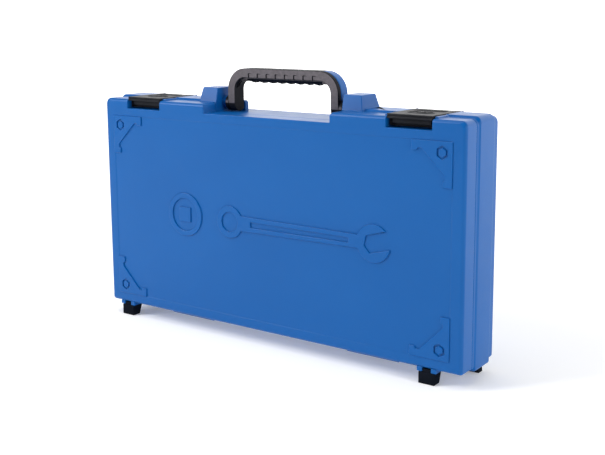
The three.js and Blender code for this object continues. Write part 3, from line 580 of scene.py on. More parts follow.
def handle_boss(side):
    """The block beside each handle leg, with a collar for the pivot pin and a stop behind."""
    outer, top, front, back = 96.6, 232.3, 20.0, 51.5
    inner = RECESS_HALF
    profile = [(inner, RECESS_FLOOR), (inner, top), (outer - 3, top), (outer, TOP), (outer, RECESS_FLOOR)]
    block = prism(mirrored(side, profile), "y", front, back)
    slope = prism([
        (front, RECESS_FLOOR), (back, RECESS_FLOOR), (back, TOP),
        (back - 4, top), (front + 3, top), (front, TOP),
    ], "x", *span(side, inner - 1, outer + 1))
    collar = rod("x", 6, *span(side, HANDLE_HALF + GAP, inner + 1), PIVOT_Y, PIVOT_Z)
    crown = arc(60.5, TOP - 2.1, 3, 90, 180, 8)
    lug = [(66, RECESS_FLOOR - 1), (66, TOP + 0.9), *crown, (57.5, RECESS_FLOOR - 1)]
    stop = prism(mirrored(side, lug), "y", HANDLE_BACK + 0.4, 50)
    return joined(common(block, slope), collar, stop)


def base_shell():
    outer = base_outer()
    inset = WALL + STEP_IN
    half = HALF - inset + 0.6
    room = box(-half, half, BASE_FRONT - 1, DEPTH - WALL, inset, TOP - inset)
    body = less(duplicate(outer), room)
    top = TOP + 20
    body = dent(body, outer, (-RECESS_HALF, RECESS_HALF), (-5, 80), (RECESS_FLOOR, top), WALL)
    for side in SIDES:
        body = dent(body, outer, latch_notch(side), (-5, 59.6), (LATCH_CHANNEL, top), WALL)
        added = [*latch_ledges(side, BASE_FRONT, 55), *latch_lugs(side), handle_boss(side)]
        for end in SIDES:
            reach = span(end, HINGE_LID_HALF + GAP, HINGE_HALF, side * HINGE_CENTRE)
            added.append(knuckle(*reach, BASE_FRONT, RIDGE_FRONT + 1))
        body = joined(body, *added)
        pin_hole = rod("x", BORE["latch"], *span(side, 133, 177.9), LATCH_PIN_Y, LATCH_PIN_Z)
        pivot_hole = rod("x", BORE["handle"], *span(side, 60, 84), PIVOT_Y, PIVOT_Z)
        body = less(body, pin_hole, pivot_hole)
    for x in LID_FEET:
        body = dent(body, outer, (x - 10.3, x + 10.3), (-5, 42), (-8, 6.2), WALL - 0.4)
    for x in BASE_FEET:
        body = less(body, peg_hole(x, REAR_PEG))
    bpy.data.objects.remove(outer)
    return less(body, hinge_bore())


# ---- reliefs on the lid ----
def gusset(x_sign, z_sign):
    """A corner plate with square ends to its arms, and its bolt head."""
    x = x_sign * (HALF - PANEL_MARGIN)
    z = PANEL_TOP if z_sign > 0 else PANEL_BOTTOM
    half = [(39.4, 0), (39.4, 9.2), (34, 9.2), (33, 7), (29.5, 7)]
    profile = [(0, 0), *half, *[(v, u) for u, v in reversed(half)]]
    outline = [(x - x_sign * u, z - z_sign * v) for u, v in profile]
    plate = prism(outline, "y", -RELIEF, RELIEF_ROOT)
    bolt = (x - x_sign * 9.6, z - z_sign * 9.6)
    groove = less(prism(circle(*bolt, 5.9, 6, 30), "y", -2, 3), prism(circle(*bolt, 4.1, 6, 30), "y", -3, 4))
    return less(plate, groove)


def driving_square_mark():
    """A raised ring round a driving square."""
    x, z = -101.0, 105.4
    ring = less(rod("y", 22, -RELIEF, RELIEF_ROOT, x, z, 72), rod("y", 16.5, -2, 3, x, z, 72))
    return joined(ring, square_bar("y", 15, -RELIEF, RELIEF_ROOT, x, z))


def tapered(left, left_half, right, right_half, z):
    return [(left, z - left_half), (right, z - right_half), (right, z + right_half), (left, z + left_half)]


def wrench_mark():
    """A raised outline of a combination wrench: a ring at one end, open jaws at the other."""
    low, high, z = -59.0, 139.0, 104.5
    eye, jaw, shank = 16.0, 17.5, 6.2
    shape = tapered(low + 20, shank + 1.4, high - 24, shank, z)
    bar = prism(shape, "y", -RELIEF, RELIEF_ROOT)
    ring = rod("y", eye, -RELIEF, RELIEF_ROOT, low + eye, z, 64)
    head = rod("y", jaw, -RELIEF, RELIEF_ROOT, high - jaw, z, 64)
    eye_hole = rod("y", 10, -2, 3, low + eye, z, 12)
    turn = math.radians(15)
    ahead, across = Vector((math.cos(turn), math.sin(turn))), Vector((-math.sin(turn), math.cos(turn)))
    centre = Vector((high - jaw, z))
    corners = [(-6, -8), (30, -8), (30, 8), (-6, 8), (-10, 0)]
    mouth = prism([tuple(centre + ahead * u + across * v) for u, v in corners], "y", -2, 3)
    window = prism(tapered(low + 42, 2.6, high - 44, 2.2, z), "y", -2, 3)
    return less(joined(bar, ring, head), eye_hole, mouth, window)


# ---- handle ----
def bail(out, leg, bar, front, back, steps=14):
    """The handle seen from the front, with its outer line moved in by out."""
    foot = PIVOT_Z - 12
    half, top = HANDLE_HALF - out, HANDLE_TOP - out
    radius = HANDLE_CORNER - out
    inner_half, inner_top = HANDLE_HALF - leg, HANDLE_TOP - bar
    inner = max(HANDLE_CORNER - max(leg, bar), 2)
    outline = [(half, foot)]
    outline += arc(half - radius, top - radius, radius, 0, 90, steps)
    outline += arc(radius - half, top - radius, radius, 90, 180, steps)
    outline += [(-half, foot), (-inner_half, foot)]
    outline += arc(inner - inner_half, inner_top - inner, inner, 180, 90, steps)
    outline += arc(inner_half - inner, inner_top - inner, inner, 90, 0, steps)
    outline += [(inner_half, foot)]
    return prism(outline, "y", front, back)


def leg_ends():
    """What the legs are trimmed to: straight above the pivot, round below it."""
    half = (HANDLE_BACK - HANDLE_FRONT) / 2
    outline = [(PIVOT_Y + half, HANDLE_TOP + 1), (PIVOT_Y - half, HANDLE_TOP + 1)]
    outline += arc(PIVOT_Y, PIVOT_Z, half, 180, 360, 20)
    return prism(outline, "x", -80, 80)


def around_bar(reach):
    """A block round the middle of the handle's top bar."""
    return box(-reach, reach, 0, DEPTH, HANDLE_TOP - 40, HANDLE_TOP + 10)


def pivot_holes():
    return [rod("x", BORE["handle"], *span(side, 60.3, 67), PIVOT_Y, PIVOT_Z) for side in SIDES]


def rib_place(index):
    return (index - (RIB_COUNT - 1) / 2) * RIB_PITCH + RIB_SHIFT


def handle_frame():
    """The blue bow: its bar lies lower than its legs' outer line, under the grip's roof."""
    legs = less(bail(0, BOW_LEG, BOW_LEG, BOW_FRONT, HANDLE_BACK), around_bar(STRAIGHT))
    bar = bail(BOW_SKIN + GAP, BOW_BAR, BOW_BAR, BOW_FRONT, HANDLE_BACK)
    whole = joined(legs, common(bar, around_bar(STRAIGHT)))
    return less(common(whole, leg_ends()), *pivot_holes())


def handle_grip():
    """The black grip: a front, a lining round the bow, a roof, a ribbed floor and two hubs."""
    edge, under = HANDLE_TOP - BAR, HANDLE_TOP - UNDER
    front = bail(0, LEG, BAR, HANDLE_FRONT, BOW_FRONT - GAP)
    sides = bail(BOW_LEG + GAP, LEG, UNDER, BOW_FRONT - 1, HANDLE_BACK - 2)
    sides = less(sides, around_bar(STRAIGHT + 1.5))
    roof = bail(0, BOW_SKIN, BOW_SKIN, BOW_FRONT - 1, HANDLE_BACK - 0.4)
    roof = common(roof, around_bar(STRAIGHT - GAP))
    floor = bail(BOW_BAR + GAP, LEG, UNDER, BOW_FRONT - 1, HANDLE_BACK - 2)
    floor = common(floor, around_bar(STRAIGHT + 2.5))
    ribs, dips = [], []
    for i in range(RIB_COUNT):
        x = rib_place(i)
        rib = [(x - 7, under + 0.5), (x + 2.4, under - 1.8), (x + 3.2, under + 0.5)]
        ribs.append(prism(rib, "y", HANDLE_FRONT + 4, HANDLE_BACK - 2))
        dip = [(x, HANDLE_FRONT - 0.1), (x, HANDLE_FRONT + 1), (x + 6.5, HANDLE_FRONT - 0.1)]
        dips.append(prism(dip, "z", edge - 1, edge + 4.2))
    hubs = []
    for side in SIDES:
        hub = rod("x", 8.2, *span(side, HANDLE_HALF - 1, HANDLE_HALF + 4), PIVOT_Y, PIVOT_Z, 48)
        room = rod("x", 6.4, *span(side, HANDLE_HALF, HANDLE_HALF + 5), PIVOT_Y, PIVOT_Z)
        hubs.append(less(hub, room))
    body = common(less(joined(front, sides, roof, floor, *ribs), *dips), leg_ends())
    slope = [(HANDLE_FRONT + 3.9, edge - 0.2), (HANDLE_FRONT + 3.9, 200), (33, 200), (36.5, under - 2.5)]
    return less(joined(body, *hubs), prism(slope, "x", -STRAIGHT, STRAIGHT), *pivot_holes())


# ---- latches and feet ----
def latch(side):
    centre = side * LATCH_CENTRE
    half = 22.2
    low, high = centre - half, centre + half
    plate = box(low, high, 1.4, 52.4, 217.4, 220.4)
    brow = box(low, high, 1.4, 3, 216.3, 219)
    lip = box(low + 0.6, high - 0.6, 5.6, 8.6, 209.9, 218)
    skirts = []
    for end in SIDES:
        reach = span(end, half - 2.2, half - 0.6, centre)
        skirts.append(box(*reach, 5.6, SEAM - 1, 209.9, 218))
        skirts.append(box(*reach, SEAM - 2, 46, LATCH_CHANNEL + 1.4, 218))
    barrel = rod("x", LATCH_BARREL, centre - 14, centre + 14, LATCH_PIN_Y, LATCH_PIN_Z)
    neck = box(centre - 14, centre + 14, 50.4, LATCH_PIN_Y, 217.4, 219.5)
    body = joined(plate, brow, lip, *skirts, barrel, neck)
    groove = box(low - 1, high + 1, 0.5, 2.1, 218.2, 219)
    frame_line = less(
        box(low + 1.2, high - 1.2, 5, 8, 210.6, 216.8),
        box(low + 3.4, high - 3.4, 4, 9, 212, 216),
    )
    return less(body, groove, frame_line, rod("x", BORE["latch"], low, high, LATCH_PIN_Y, LATCH_PIN_Z))


def oval(x, y, half_width, half_depth, sides=48):
    angles = [math.tau * i / sides for i in range(sides)]
    return [(x + half_width * math.cos(a), y + half_depth * math.sin(a)) for a in angles]


def latch_mark(side):
    """A raised oval with an arrow towards the lid, and three raised lines behind it."""
    x, y = side * LATCH_CENTRE, 22.0
    root, face = 219.6, 220.85
    ring = less(prism(oval(x, y, 13, 7), "z", root, face), prism(oval(x, y, 11.4, 5.6), "z", 218, 222))
    right = [(5, 0.6), (1.8, 0.6), (1.8, 3.6)]
    outline = [(0, -4), *right, *[(-u, v) for u, v in reversed(right)]]
    arrow = prism([(x + u, y + v) for u, v in outline], "z", root, face)
    lines = [box(x - 15, x + 15, y + at, y + at + 1.1, root, 220.8) for at in (14, 17, 20)]
    return joined(ring, arrow, *lines)


def wedge(x, corners):
    return prism(corners, "x", x - 8, x + 8)


def lid_foot(x):
    block = wedge(x, [(0, -FOOT_DROP), (9.8, -FOOT_DROP), (13.5, -3.3), (0, -3.3)])
    tongue = box(x - 4.1, x + 4.1, 0.6, 13, -4, -0.3)
    front, back, top = FRONT_PEG
    return joined(block, tongue, box(x - PEG_HALF, x + PEG_HALF, front, back, -1, top))


def base_foot(x):
    neck = -RIDGE_DROP - GAP
    block = wedge(x, [(50.5, -FOOT_DROP), (58, -FOOT_DROP), (56.5, neck), (46, neck)])
    front, back, top = REAR_PEG
    return joined(block, box(x - PEG_HALF, x + PEG_HALF, front, back, -5, top))


# ---- sockets ----
def socket(node, size):
    """A hexagon socket that stands on its drive end, with a groove round that end."""
    low, high = case_box(node)
    x, y = middle(node, "x"), middle(node, "y")
    bottom, top = low.z, high.z
    nose = (size * 1.28 + 2) / 2
    drive = max(11, nose * 0.75)
    shoulder = bottom + 22
    outer = lathe("z", [
        (bottom, drive - 0.9), (bottom + 0.9, drive), (bottom + 7, drive), (bottom + 7.5, drive - 0.5),
        (bottom + 9.5, drive - 0.5), (bottom + 10, drive), (shoulder - 4, drive),
        (shoulder - 1, drive + (nose - drive) * 0.85), (shoulder, nose), (top - 1.4, nose),
        (top - 0.5, nose - 0.45), (top, nose - 1.3),
    ], x, y)
    corner = size / math.sqrt(3)
    return less(
        outer,
        square_bar("z", SQUARE_HOLE, bottom - 1, shoulder + 1, x, y),
        prism(circle(x, y, (size + 0.3) / math.sqrt(3), 6), "z", shoulder, top + 1),
        lathe("z", [(top - 1.6, corner - 1.4), (top + 0.4, corner + 0.6)], x, y),
        square_mouth("z", bottom, 1, x, y),
        rod("y", 2.1, y - 30, y, x, bottom + 6, 20),
    )


# ---- extension bars ----
def ball(x, y, z, radius=1.9):
    """The spring ball that holds a socket on a driving square."""
    stations = []
    for angle in (-88, -60, -30, 0, 30, 60, 88):
        a = math.radians(angle)
        stations.append((y + radius * math.sin(a), radius * math.cos(a)))
    return lathe("y", stations, x, z, 20)


def toothed(u, v, first, second, teeth):
    """A toothed outline, whose points lie on two circles by turns."""
    points = []
    for i in range(2 * teeth):
        radius = second if i % 2 else first
        angle = math.pi * i / teeth
        points.append((u + radius * math.cos(angle), v + radius * math.sin(angle)))
    return points


def extension(node):
    low, high = case_box(node)
    start, end, z = low.x, high.x, middle(node, "z")
    bar = lathe("x", [
        (start, 10), (start + 1, 11), (start + 6, 11), (start + 6.4, 10.4), (start + 15.6, 10.4),
        (start + 16, 11), (start + 21, 11), (start + 23, 10.2), (start + 27, 6.6), (end - 26, 6.6),
        (end - 23.5, 8.2), (end - 22.5, 8.6), (end - 16.2, 8.6), (end - 15, 7.8),
    ], TOOL_Y, z)
    drive = driving_square("x", end - 16, end, TOOL_Y, z)
    knurling = prism(toothed(TOOL_Y, z, 10.45, 10.95, 40), "x", start + 6.2, start + 15.8)
    body = joined(bar, knurling, drive, ball(end - 7, TOOL_Y - SQUARE / 2, z))
    hole = square_bar("x", SQUARE_HOLE, start - 1, start + 17, TOOL_Y, z)
    return less(body, hole, square_mouth("x", start, 1, TOOL_Y, z))


# ---- sliding T handle ----
T_BAR_RADIUS, T_HEAD_RADIUS, T_SLIDE = 6.9, 11.8, 101.0


def t_bar():
    low, high = case_box("t_bar")
    full, waist = T_BAR_RADIUS, T_BAR_RADIUS - 0.6
    ends = [(0, full - 1.4), (1.4, full), (8, full), (8.5, waist), (9.5, waist), (10, full)]
    return lathe("x", both_ends(low.x, high.x, ends), DEEP_Y, middle("t_bar", "z"))


def t_bar_head():
    x, z, radius = middle("t_bar_head", "x"), middle("t_bar_head", "z"), T_HEAD_RADIUS
    ends = [(0, radius - 2.2), (1.8, radius - 0.4), (2.6, radius)]
    block = lathe("y", both_ends(DEEP_Y - 11.6, DEEP_Y + 11.6, ends), x, z, 64)
    drive = driving_square("y", DEEP_Y + 11, case_box("t_bar_head")[1].y, x, z)
    bore = rod("x", T_BAR_RADIUS + GAP, x - 20, x + 20, DEEP_Y, z, 48)
    return less(joined(block, drive), bore)


# ---- universal joint ----
CARDAN_X, CARDAN_Z = middle("universal_cross", "x"), middle("universal_cross", "z")
CARDAN_CLEAR = 13.5
CROSS_PIN = 2.6


def ears(axis, towards):
    """A yoke's two ears, across "x" or "y", on the side that it points towards."""
    plates = []
    across, along = (TOOL_Y, CARDAN_X) if axis == "y" else (CARDAN_X, TOOL_Y)
    low, high = sorted((CARDAN_Z, CARDAN_Z + towards * (CARDAN_CLEAR + 1)))
    outline = [(along - 5.5, low), (along + 5.5, low), (along + 5.5, high), (along - 5.5, high)]
    for side in SIDES:
        reach = span(side, 7.2, 11, across)
        plates.append(joined(rod(axis, 5.5, *reach, along, CARDAN_Z), prism(outline, axis, *reach)))
    return less(joined(*plates), rod(axis, CROSS_PIN + GAP, across - 20, across + 20, along, CARDAN_Z))


def universal_socket_yoke():
    base = CARDAN_Z + CARDAN_CLEAR
    body = lathe("z", [
        (base, 11), (base + 1.5, 12.5), (base + 8, 12.5), (base + 8.6, 11.9), (base + 11, 11.9),
        (base + 11.6, 12.5), (base + 22, 12.5), (base + 23, 11.6),
    ], CARDAN_X, TOOL_Y)
    hole = square_bar("z", SQUARE_HOLE, base + 7, base + 24, CARDAN_X, TOOL_Y)
    mouth = square_mouth("z", base + 23, -1, CARDAN_X, TOOL_Y)
    return less(joined(body, ears("y", 1)), hole, mouth)


def universal_drive_yoke():
    top = CARDAN_Z - CARDAN_CLEAR
    body = lathe("z", [
        (top - 11, 8.4), (top - 9.5, 9.8), (top - 1.5, 12), (top, 11.5),
    ], CARDAN_X, TOOL_Y)
    drive = driving_square("z", top - 24, top - 10, CARDAN_X, TOOL_Y, -1)
    return joined(body, ears("x", -1), drive, ball(CARDAN_X, TOOL_Y - SQUARE / 2, top - 17))


def universal_cross():
    cube = box(CARDAN_X - 5.7, CARDAN_X + 5.7, TOOL_Y - 5.7, TOOL_Y + 5.7, CARDAN_Z - 5, CARDAN_Z + 5)
    along_x = rod("x", CROSS_PIN, CARDAN_X - 11, CARDAN_X + 11, TOOL_Y, CARDAN_Z)
    along_y = rod("y", CROSS_PIN, TOOL_Y - 11, TOOL_Y + 11, CARDAN_X, CARDAN_Z)
    return joined(cube, along_x, along_y)


# ---- ratchet ----
GEAR_X, RATCHET_Z = middle("ratchet_button", "x"), middle("ratchet_button", "z")
PAWL_X = GEAR_X + 22
HEAD_RADIUS, NECK_RADIUS, HEAD_FRONT, HEAD_BACK = 20.0, 12.5, 21.0, 41.0
GRIP_START, GRIP_END = [corner.x for corner in case_box("ratchet_grip")]
LEVER_TURN = -0.42  # radians


def pear(inset, steps=30):
    """The head's outline, a large circle run into a small one, shrunk by an inset."""
    angle = math.degrees(math.acos((HEAD_RADIUS - NECK_RADIUS) / (PAWL_X - GEAR_X)))
    large = arc(GEAR_X, RATCHET_Z, HEAD_RADIUS - inset, angle, 360 - angle, steps)
    return large + arc(PAWL_X, RATCHET_Z, NECK_RADIUS - inset, -angle, angle, steps // 2)


def ratchet_body():
    z = RATCHET_Z
    stations = both_ends(HEAD_FRONT, HEAD_BACK, [(0, 1.8), (0.5, 0.9), (1.4, 0.2), (2.5, 0)])
    rings = [[(u, y, v) for u, v in pear(inset)] for y, inset in stations]
    grip = GRIP_START - GAP
    neck = lathe("x", [
        (PAWL_X + 6, 9), (-141, 7), (-128, 6.4), (-105, 6.5), (grip - 6, 7.6), (grip, 7.6),
        (grip + 0.1, 5.5), (38, 5.5), (39, 4.5),
    ], DEEP_Y, z)
    return less(
        joined(loft(rings), neck),
        prism(pear(2.2), "y", 20, HEAD_FRONT + 1.6),
        rod("y", 14.5, 20, HEAD_BACK - 2.5, GEAR_X, z, 48),
        rod("y", 8.4, 20, HEAD_BACK - 2.5, PAWL_X, z),
        box(GEAR_X, PAWL_X, 20, HEAD_BACK - 2.5, z - 5, z + 5),
        rod("y", 9.8, HEAD_BACK - 4, HEAD_BACK + 1, GEAR_X, z, 48),
    )


def ratchet_cover():
    plate = prism(pear(2.5), "y", HEAD_FRONT, HEAD_FRONT + 1.3)
    return less(plate, rod("y", 4.8, 10, 30, GEAR_X, RATCHET_Z), rod("y", 3.4, 10, 30, PAWL_X, RATCHET_Z))


def ratchet_gear():
    """The toothed wheel with its journal, its driving square and the button's bore."""
    teeth = toothed(GEAR_X, RATCHET_Z, 13, 11.4, 20)
    gear = prism(teeth, "y", HEAD_FRONT + 2.4, HEAD_BACK - 2.9)
    journal = rod("y", 9.4, HEAD_BACK - 3.5, HEAD_BACK + 1, GEAR_X, RATCHET_Z, 48)
    drive = driving_square("y", HEAD_BACK + 0.5, HEAD_BACK + 15.5, GEAR_X, RATCHET_Z)
    bore = rod("y", 2.6, 10, HEAD_BACK + 7, GEAR_X, RATCHET_Z)
    return less(joined(gear, journal, drive), bore)


def ratchet_pawl():
    z = RATCHET_Z
    outline = arc(PAWL_X, z, 7.6, 135, 225, 12)
    outline += [(PAWL_X + 3.6, z - 4.4), (PAWL_X + 5, z), (PAWL_X + 3.6, z + 4.4)]
    return less(prism(outline, "y", HEAD_FRONT + 2.4, HEAD_BACK - 3), rod("y", 3.3, 10, 50, PAWL_X, z))


def ratchet_lever():
    front = HEAD_FRONT
    stations = [(front - 3.4, 5.2), (front - 3.1, 6.1), (front - 2.6, 6.6), (front - GAP, 6.6)]
    hub = lathe("y", stations, PAWL_X, RATCHET_Z)
    shaft = rod("y", 3, front - 1, HEAD_BACK - 4, PAWL_X, RATCHET_Z)
    cos, sin = math.cos(LEVER_TURN), math.sin(LEVER_TURN)
    tab = [(0, -4), (15, -2.6), *arc(14, 0, 2.6, -80, 80, 8), (15, 2.6), (0, 4)]
    outline = [(PAWL_X + u * cos - v * sin, RATCHET_Z + u * sin + v * cos) for u, v in tab]
    return joined(hub, shaft, prism(outline, "y", front - 3, front - 0.8))


def ratchet_button():
    front = HEAD_FRONT
    stations = [(front - 3.6, 2.4), (front - 3.4, 3.4), (front - 2.8, 4.2), (front - 0.2, 4.2)]
    head = lathe("y", stations, GEAR_X, RATCHET_Z, 36)
    return joined(head, rod("y", 2.2, front - 1, HEAD_BACK + 3, GEAR_X, RATCHET_Z))


def ratchet_grip():
    """The ratchet's handle: a collar, ribs round a slight waist, and a swollen end."""
    low, high = GRIP_START, GRIP_END
    stations = [(low, 9.2), (low + 0.8, 10.4), (low + 2, 11)]
    stations += [(low + 8, 12.9), (low + 12, 13.6), (low + 18, 13.4)]
    at = low + 22
    while at < high - 22:
        waist = 12.1 + 1.5 * ((at - (low + high) / 2) / 45) ** 2
        stations += [(at, waist), (at + 0.6, waist - 0.7), (at + 1.8, waist - 0.7), (at + 2.4, waist)]
        at += 6.2
    stations += [(high - 18, 14), (high - 12, 14.2), (high - 6, 13.8)]
    stations += [(high - 3, 12.6), (high - 1, 10.9), (high, 9)]
    return less(
        lathe("x", stations, DEEP_Y, RATCHET_Z),
        rod("x", 7.9, low - 2, low + 0.1, DEEP_Y, RATCHET_Z),
        rod("x", 5.8, low - 2, 39.5, DEEP_Y, RATCHET_Z),
    )


# ---- tray and pad ----
PLAY = 0.5  # room round every tool
TRAY_WALL = 1.6
MOUTH_Y = 10  # pockets are cut from this plane, in front of the tray


def trough(axis, low, high, at, radius, y, grow):
    """A pocket's inside for a round tool: round at the back and open to the front."""
    r = radius + grow
    profile = [(at - r, MOUTH_Y), *arc(at, y, r, 180, 0, 24), (at + r, MOUTH_Y)]
    if axis == "x":
        profile = [(depth, across) for across, depth in profile]
    return prism(profile, axis, low - grow, high + grow)


def bay(middle_x, reach, low, high, depth, grow):
    """A box-shaped pocket's inside, open to the front."""
    left, right = middle_x - reach - grow, middle_x + reach + grow
    return box(left, right, MOUTH_Y, depth + grow, low - grow, high + grow)


def pockets(grow):
    """The room that the tools take up, larger by grow all round."""
    made = []
    for node in SOCKETS:
        low, high = case_box(node)
        radius = (high.x - low.x) / 2
        made.append(trough("z", low.z, high.z, middle(node, "x"), radius, TOOL_Y, grow))
    for length, finger_room in ((250, 11), (125, 0), (75, 0)):
        node = f"extension_bar_{length}"
        low, high = case_box(node)
        z = middle(node, "z")
        made.append(trough("x", low.x - finger_room, low.x + 25, z, 11, TOOL_Y, grow))
        made.append(trough("x", low.x + 20, high.x, z, 9.2, TOOL_Y, grow))
    low, high = case_box("t_bar")
    x, z = middle("t_bar", "x"), middle("t_bar", "z")
    made.append(trough("x", low.x, high.x, z, T_BAR_RADIUS, DEEP_Y, grow))
    reach = T_SLIDE + T_HEAD_RADIUS
    made.append(bay(x, reach, z - T_HEAD_RADIUS, z + T_HEAD_RADIUS, 57, grow))
    base = CARDAN_Z + CARDAN_CLEAR
    neck_end, grip_end = -72, 52
    return made + [
        trough("z", base, base + 23, CARDAN_X, 12.5, TOOL_Y, grow),
        bay(CARDAN_X, 26, CARDAN_Z - 42, base, 56.5, grow),
        prism(pear(-grow), "y", MOUTH_Y, HEAD_BACK + grow),
        rod("y", 10 + grow, MOUTH_Y, 57 + grow, GEAR_X, RATCHET_Z),
        trough("x", PAWL_X, neck_end, RATCHET_Z, 9.2, DEEP_Y, grow),
        trough("x", neck_end, grip_end, RATCHET_Z, 14.2, DEEP_Y, grow),
    ]


def tool_tray():
    """A moulded sheet with a rim round it and a walled pocket behind it for each tool."""
    low, high = case_box("tool_tray")
    half, bottom, top, front = high.x, low.z, high.z, low.y
    rim, floor = 54.0, 58.8
    sheet = box(-half, half, front, front + 2, bottom, top)
    inner = half - TRAY_WALL
    inside = box(-inner, inner, front - 1, floor + 1, bottom + TRAY_WALL, top - TRAY_WALL)
    edge = less(box(-half, half, front, rim, bottom, top), inside)
    room = joined(
        box(-half, half, front, rim, bottom, top),
        box(6 - half, half - 6, front, floor + 0.4, bottom, top),
    )
    walls = common(joined(*pockets(PLAY + TRAY_WALL)), room)
    return less(joined(sheet, edge, walls), *pockets(PLAY))


def lid_pad():
    """A sheet of foam with a moulded field of low bumps."""
    low, high = case_box("lid_pad")
    columns, rows = 196, 93
    fronts, backs, faces = [], [], []
    for j in range(rows + 1):
        for i in range(columns + 1):
            x = low.x + i / columns * (high.x - low.x)
            z = low.z + j / rows * (high.z - low.z)
            rise = min(min(i, columns - i, j, rows - j) / 3, 1)
            wave = math.sin(i * math.pi / 3) * math.sin(j * math.pi / 3)
            fronts.append((x, low.y, z))
            backs.append((x, high.y - 1.1 + rise * (0.5 + 0.6 * wave), z))
    width, back = columns + 1, len(fronts)
    for j in range(rows):
        for i in range(columns):
            a = j * width + i
            faces.append((a, a + 1, a + 1 + width, a + width))
            faces.append((back + a, back + a + width, back + a + 1 + width, back + a + 1))
    edge = [*range(columns), *[j * width + columns for j in range(rows)]]
    edge += [rows * width + i for i in range(columns, 0, -1)] + [j * width for j in range(rows, 0, -1)]
    for a, b in zip(edge, edge[1:] + edge[:1]):
        faces.append((a, back + a, back + b, b))
    return solid(fronts + backs, faces)


# ---- assembly ----
SOCKET_NODES = [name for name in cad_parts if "socket_" in name and name.endswith("mm")]
SOCKETS = {name: int(name.split("_")[-1][:-2]) for name in SOCKET_NODES}  # sizes across flats


def stand_in(obj, node, kind, *rest, **look):
    """A finished piece that stands for one CAD node and is named after it."""
    return finished(obj, f"{node}_{kind}", *rest, nodes=[node], **look)


def build_case():
    stand_in(lid_shell(), "lid_shell", "moulded", "lid", BLUE, places=SHELL_CUTS)
    stand_in(base_shell(), "base_shell", "moulded", "case", BLUE, edge=0.7, segments=3, places=SHELL_CUTS)
    reliefs = []
    for hand, x_sign in zip(HANDS, SIDES):
        for level, z_sign in zip(("low", "high"), SIDES):
            reliefs.append((gusset(x_sign, z_sign), f"corner_relief_{hand}_{level}"))
    reliefs += [(driving_square_mark(), "drive_relief"), (wrench_mark(), "wrench_relief")]
    for relief, name in reliefs:
        finished(relief, name, "lid", BLUE, edge=0.7, segments=3)
    finished(handle_frame(), "handle_bow", "handle", BLUE, ["handle_frame"], 0.9, 3)
    cuts = [rib_place(i) - 2 for i in range(RIB_COUNT + 1)]
    cuts += [side * (STRAIGHT + 4) for side in SIDES]
    stand_in(handle_grip(), "handle_grip", "moulded", "handle", GRIP, places=cuts)
    finished(lid_pad(), "lid_foam", "lid", FOAM, ["lid_pad"], 0)


def pin(node, radius):
    """A steel pin with rounded ends."""
    low, high = case_box(node)
    stations = both_ends(low.x, high.x, [(0, radius * 0.6), (0.4, radius * 0.9), (1, radius)])
    turned = lathe("x", stations, middle(node, "y"), middle(node, "z"), 24)
    stand_in(turned, node, "turned", "case", PIN_STEEL, edge=0)


def build_fittings():
    for hand, side, front_x, rear_x in zip(HANDS, SIDES, LID_FEET, BASE_FEET):
        body = "latch_" + hand
        stand_in(latch(side), body, "moulded", body, LATCH_BLACK, edge=0.45)
        finished(latch_mark(side), body + "_mark", body, LATCH_BLACK, edge=0.2)
        for foot, end, body in ((lid_foot(front_x), "front", "lid"), (base_foot(rear_x), "rear", "case")):
            stand_in(foot, f"{end}_foot_{hand}", "moulded", body, FOOT_BLACK, edge=0.7, segments=3)
        for kind, radius in PIN_RADIUS.items():
            pin(f"{kind}_pin_{hand}", radius)


def build_tools():
    for node, size in SOCKETS.items():
        stand_in(socket(node, size), node, "turned", "case", CHROME, edge=0.25, angle=40)
    for length in (250, 125, 75):
        node = f"extension_bar_{length}"
        stand_in(extension(node), node, "turned", "case", CHROME, edge=0.25, angle=50)
    for make, body, material, edge in (
        (t_bar, "case", CHROME, 0.2),
        (t_bar_head, "t_head", CHROME, 0.3),
        (universal_socket_yoke, "case", CHROME, 0.4),
        (universal_drive_yoke, "universal_drive", CHROME, 0.4),
        (universal_cross, "universal_centre", TOOL_STEEL, 0.3),
        (ratchet_body, "case", CHROME, 0.3),
        (ratchet_cover, "case", CHROME, 0.25),
        (ratchet_gear, "ratchet_drive", TOOL_STEEL, 0.2),
        (ratchet_pawl, "ratchet_reverser", TOOL_STEEL, 0.3),
        (ratchet_lever, "ratchet_reverser", RATCHET_BLACK, 0.4),
        (ratchet_button, "ratchet_release", CHROME, 0.15),
        (ratchet_grip, "case", RATCHET_BLACK, 0.2),
    ):
        node = make.__name__  # each of these functions is named after its node
        stand_in(make(), node, "finished", body, material, edge=edge, angle=40)
    stand_in(tool_tray(), "tool_tray", "moulded", "case", TRAY_GREY, edge=0.6)


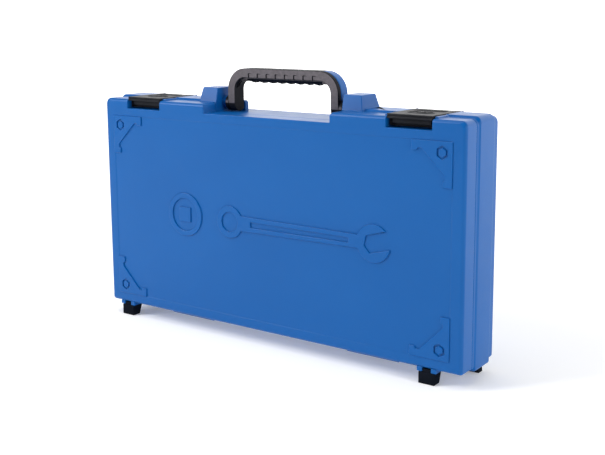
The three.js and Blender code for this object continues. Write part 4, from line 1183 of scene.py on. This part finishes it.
# ---- stage ----
def backdrop():
    """A pale floor that curves up into a glowing white wall behind the object."""
    depth, width, height, radius = 6.0, 12.0, 6.0, 2.5  # metres
    profile = [(-depth, 0.0), *arc(depth - radius, radius, radius, -90, 0, 16), (depth, height)]
    points = [(x, y, z) for y, z in profile for x in (-width, width)]
    faces = [(2 * i, 2 * i + 1, 2 * i + 3, 2 * i + 2) for i in range(len(profile) - 1)]
    mesh = bpy.data.meshes.new("backdrop")
    mesh.from_pydata(points, [], faces)
    mesh.shade_smooth()
    obj = placed("backdrop", mesh)
    n = Nodes("paper")
    color = n.ramp(n.noise(2), (0.3, 0.92), (0.7, 0.94))
    roughness = n.ramp(n.noise(5), (0.3, 0.9), (0.7, 0.95))
    glow = n.mapped(n.along("Y"), 0.3, 2.5, 0.2, 1.15)
    n.done(color, roughness, Emission_Color=(1, 1, 1, 1), Emission_Strength=glow)
    mesh.materials.append(n.material)


def softbox(name, place, size, power):
    """A rectangular white lamp at a place in metres, turned to the middle of the case."""
    data = bpy.data.lights.new(name, "AREA")
    data.shape = "RECTANGLE"
    data.size, data.size_y = size
    data.energy = power
    obj = placed(name, data)
    obj.location = place
    towards = Vector((0, 0, 0.12)) - Vector(place)
    obj.rotation_euler = towards.to_track_quat("-Z", "Y").to_euler()


def build_light():
    world = bpy.data.worlds.new("studio")
    bpy.context.scene.world = world
    world.use_nodes = True
    background = world.node_tree.nodes["Background"]
    background.inputs["Color"].default_value = (1, 1, 1, 1)
    background.inputs["Strength"].default_value = 0.2
    softbox("key_left", (-1.34, -1.43, 1.35), (0.8, 1.6), 40)
    softbox("rim_right", (2.3, -0.3, 0.8), (1.0, 1.2), 24)
    softbox("overhead", (-0.2, -0.1, 2.2), (1.6, 1.2), 17)
    bpy.context.scene.view_settings.view_transform = "Standard"


def build_camera():
    """The camera stands to the front right, a little above, about a metre from the case."""
    data = bpy.data.cameras.new("camera")
    data.lens = 59.59
    data.sensor_width = 36
    data.shift_x = -0.03
    data.shift_y = -0.08
    data.clip_start = 0.01
    camera = placed("camera", data)
    yaw, pitch, roll = math.radians(34.877), math.radians(9.553), math.radians(-0.187)
    turn = Matrix.Rotation(yaw, 4, "Z") @ Matrix.Rotation(math.pi / 2 - pitch, 4, "X")
    turn = turn @ Matrix.Rotation(roll, 4, "Z")
    place = TO_ROW @ Vector((575.7, -732.6, 307.2))
    camera.matrix_world = Matrix.Translation(place) @ turn
    bpy.context.scene.camera = camera


build_camera()
build_light()
backdrop()
build_case()
build_fittings()
build_tools()
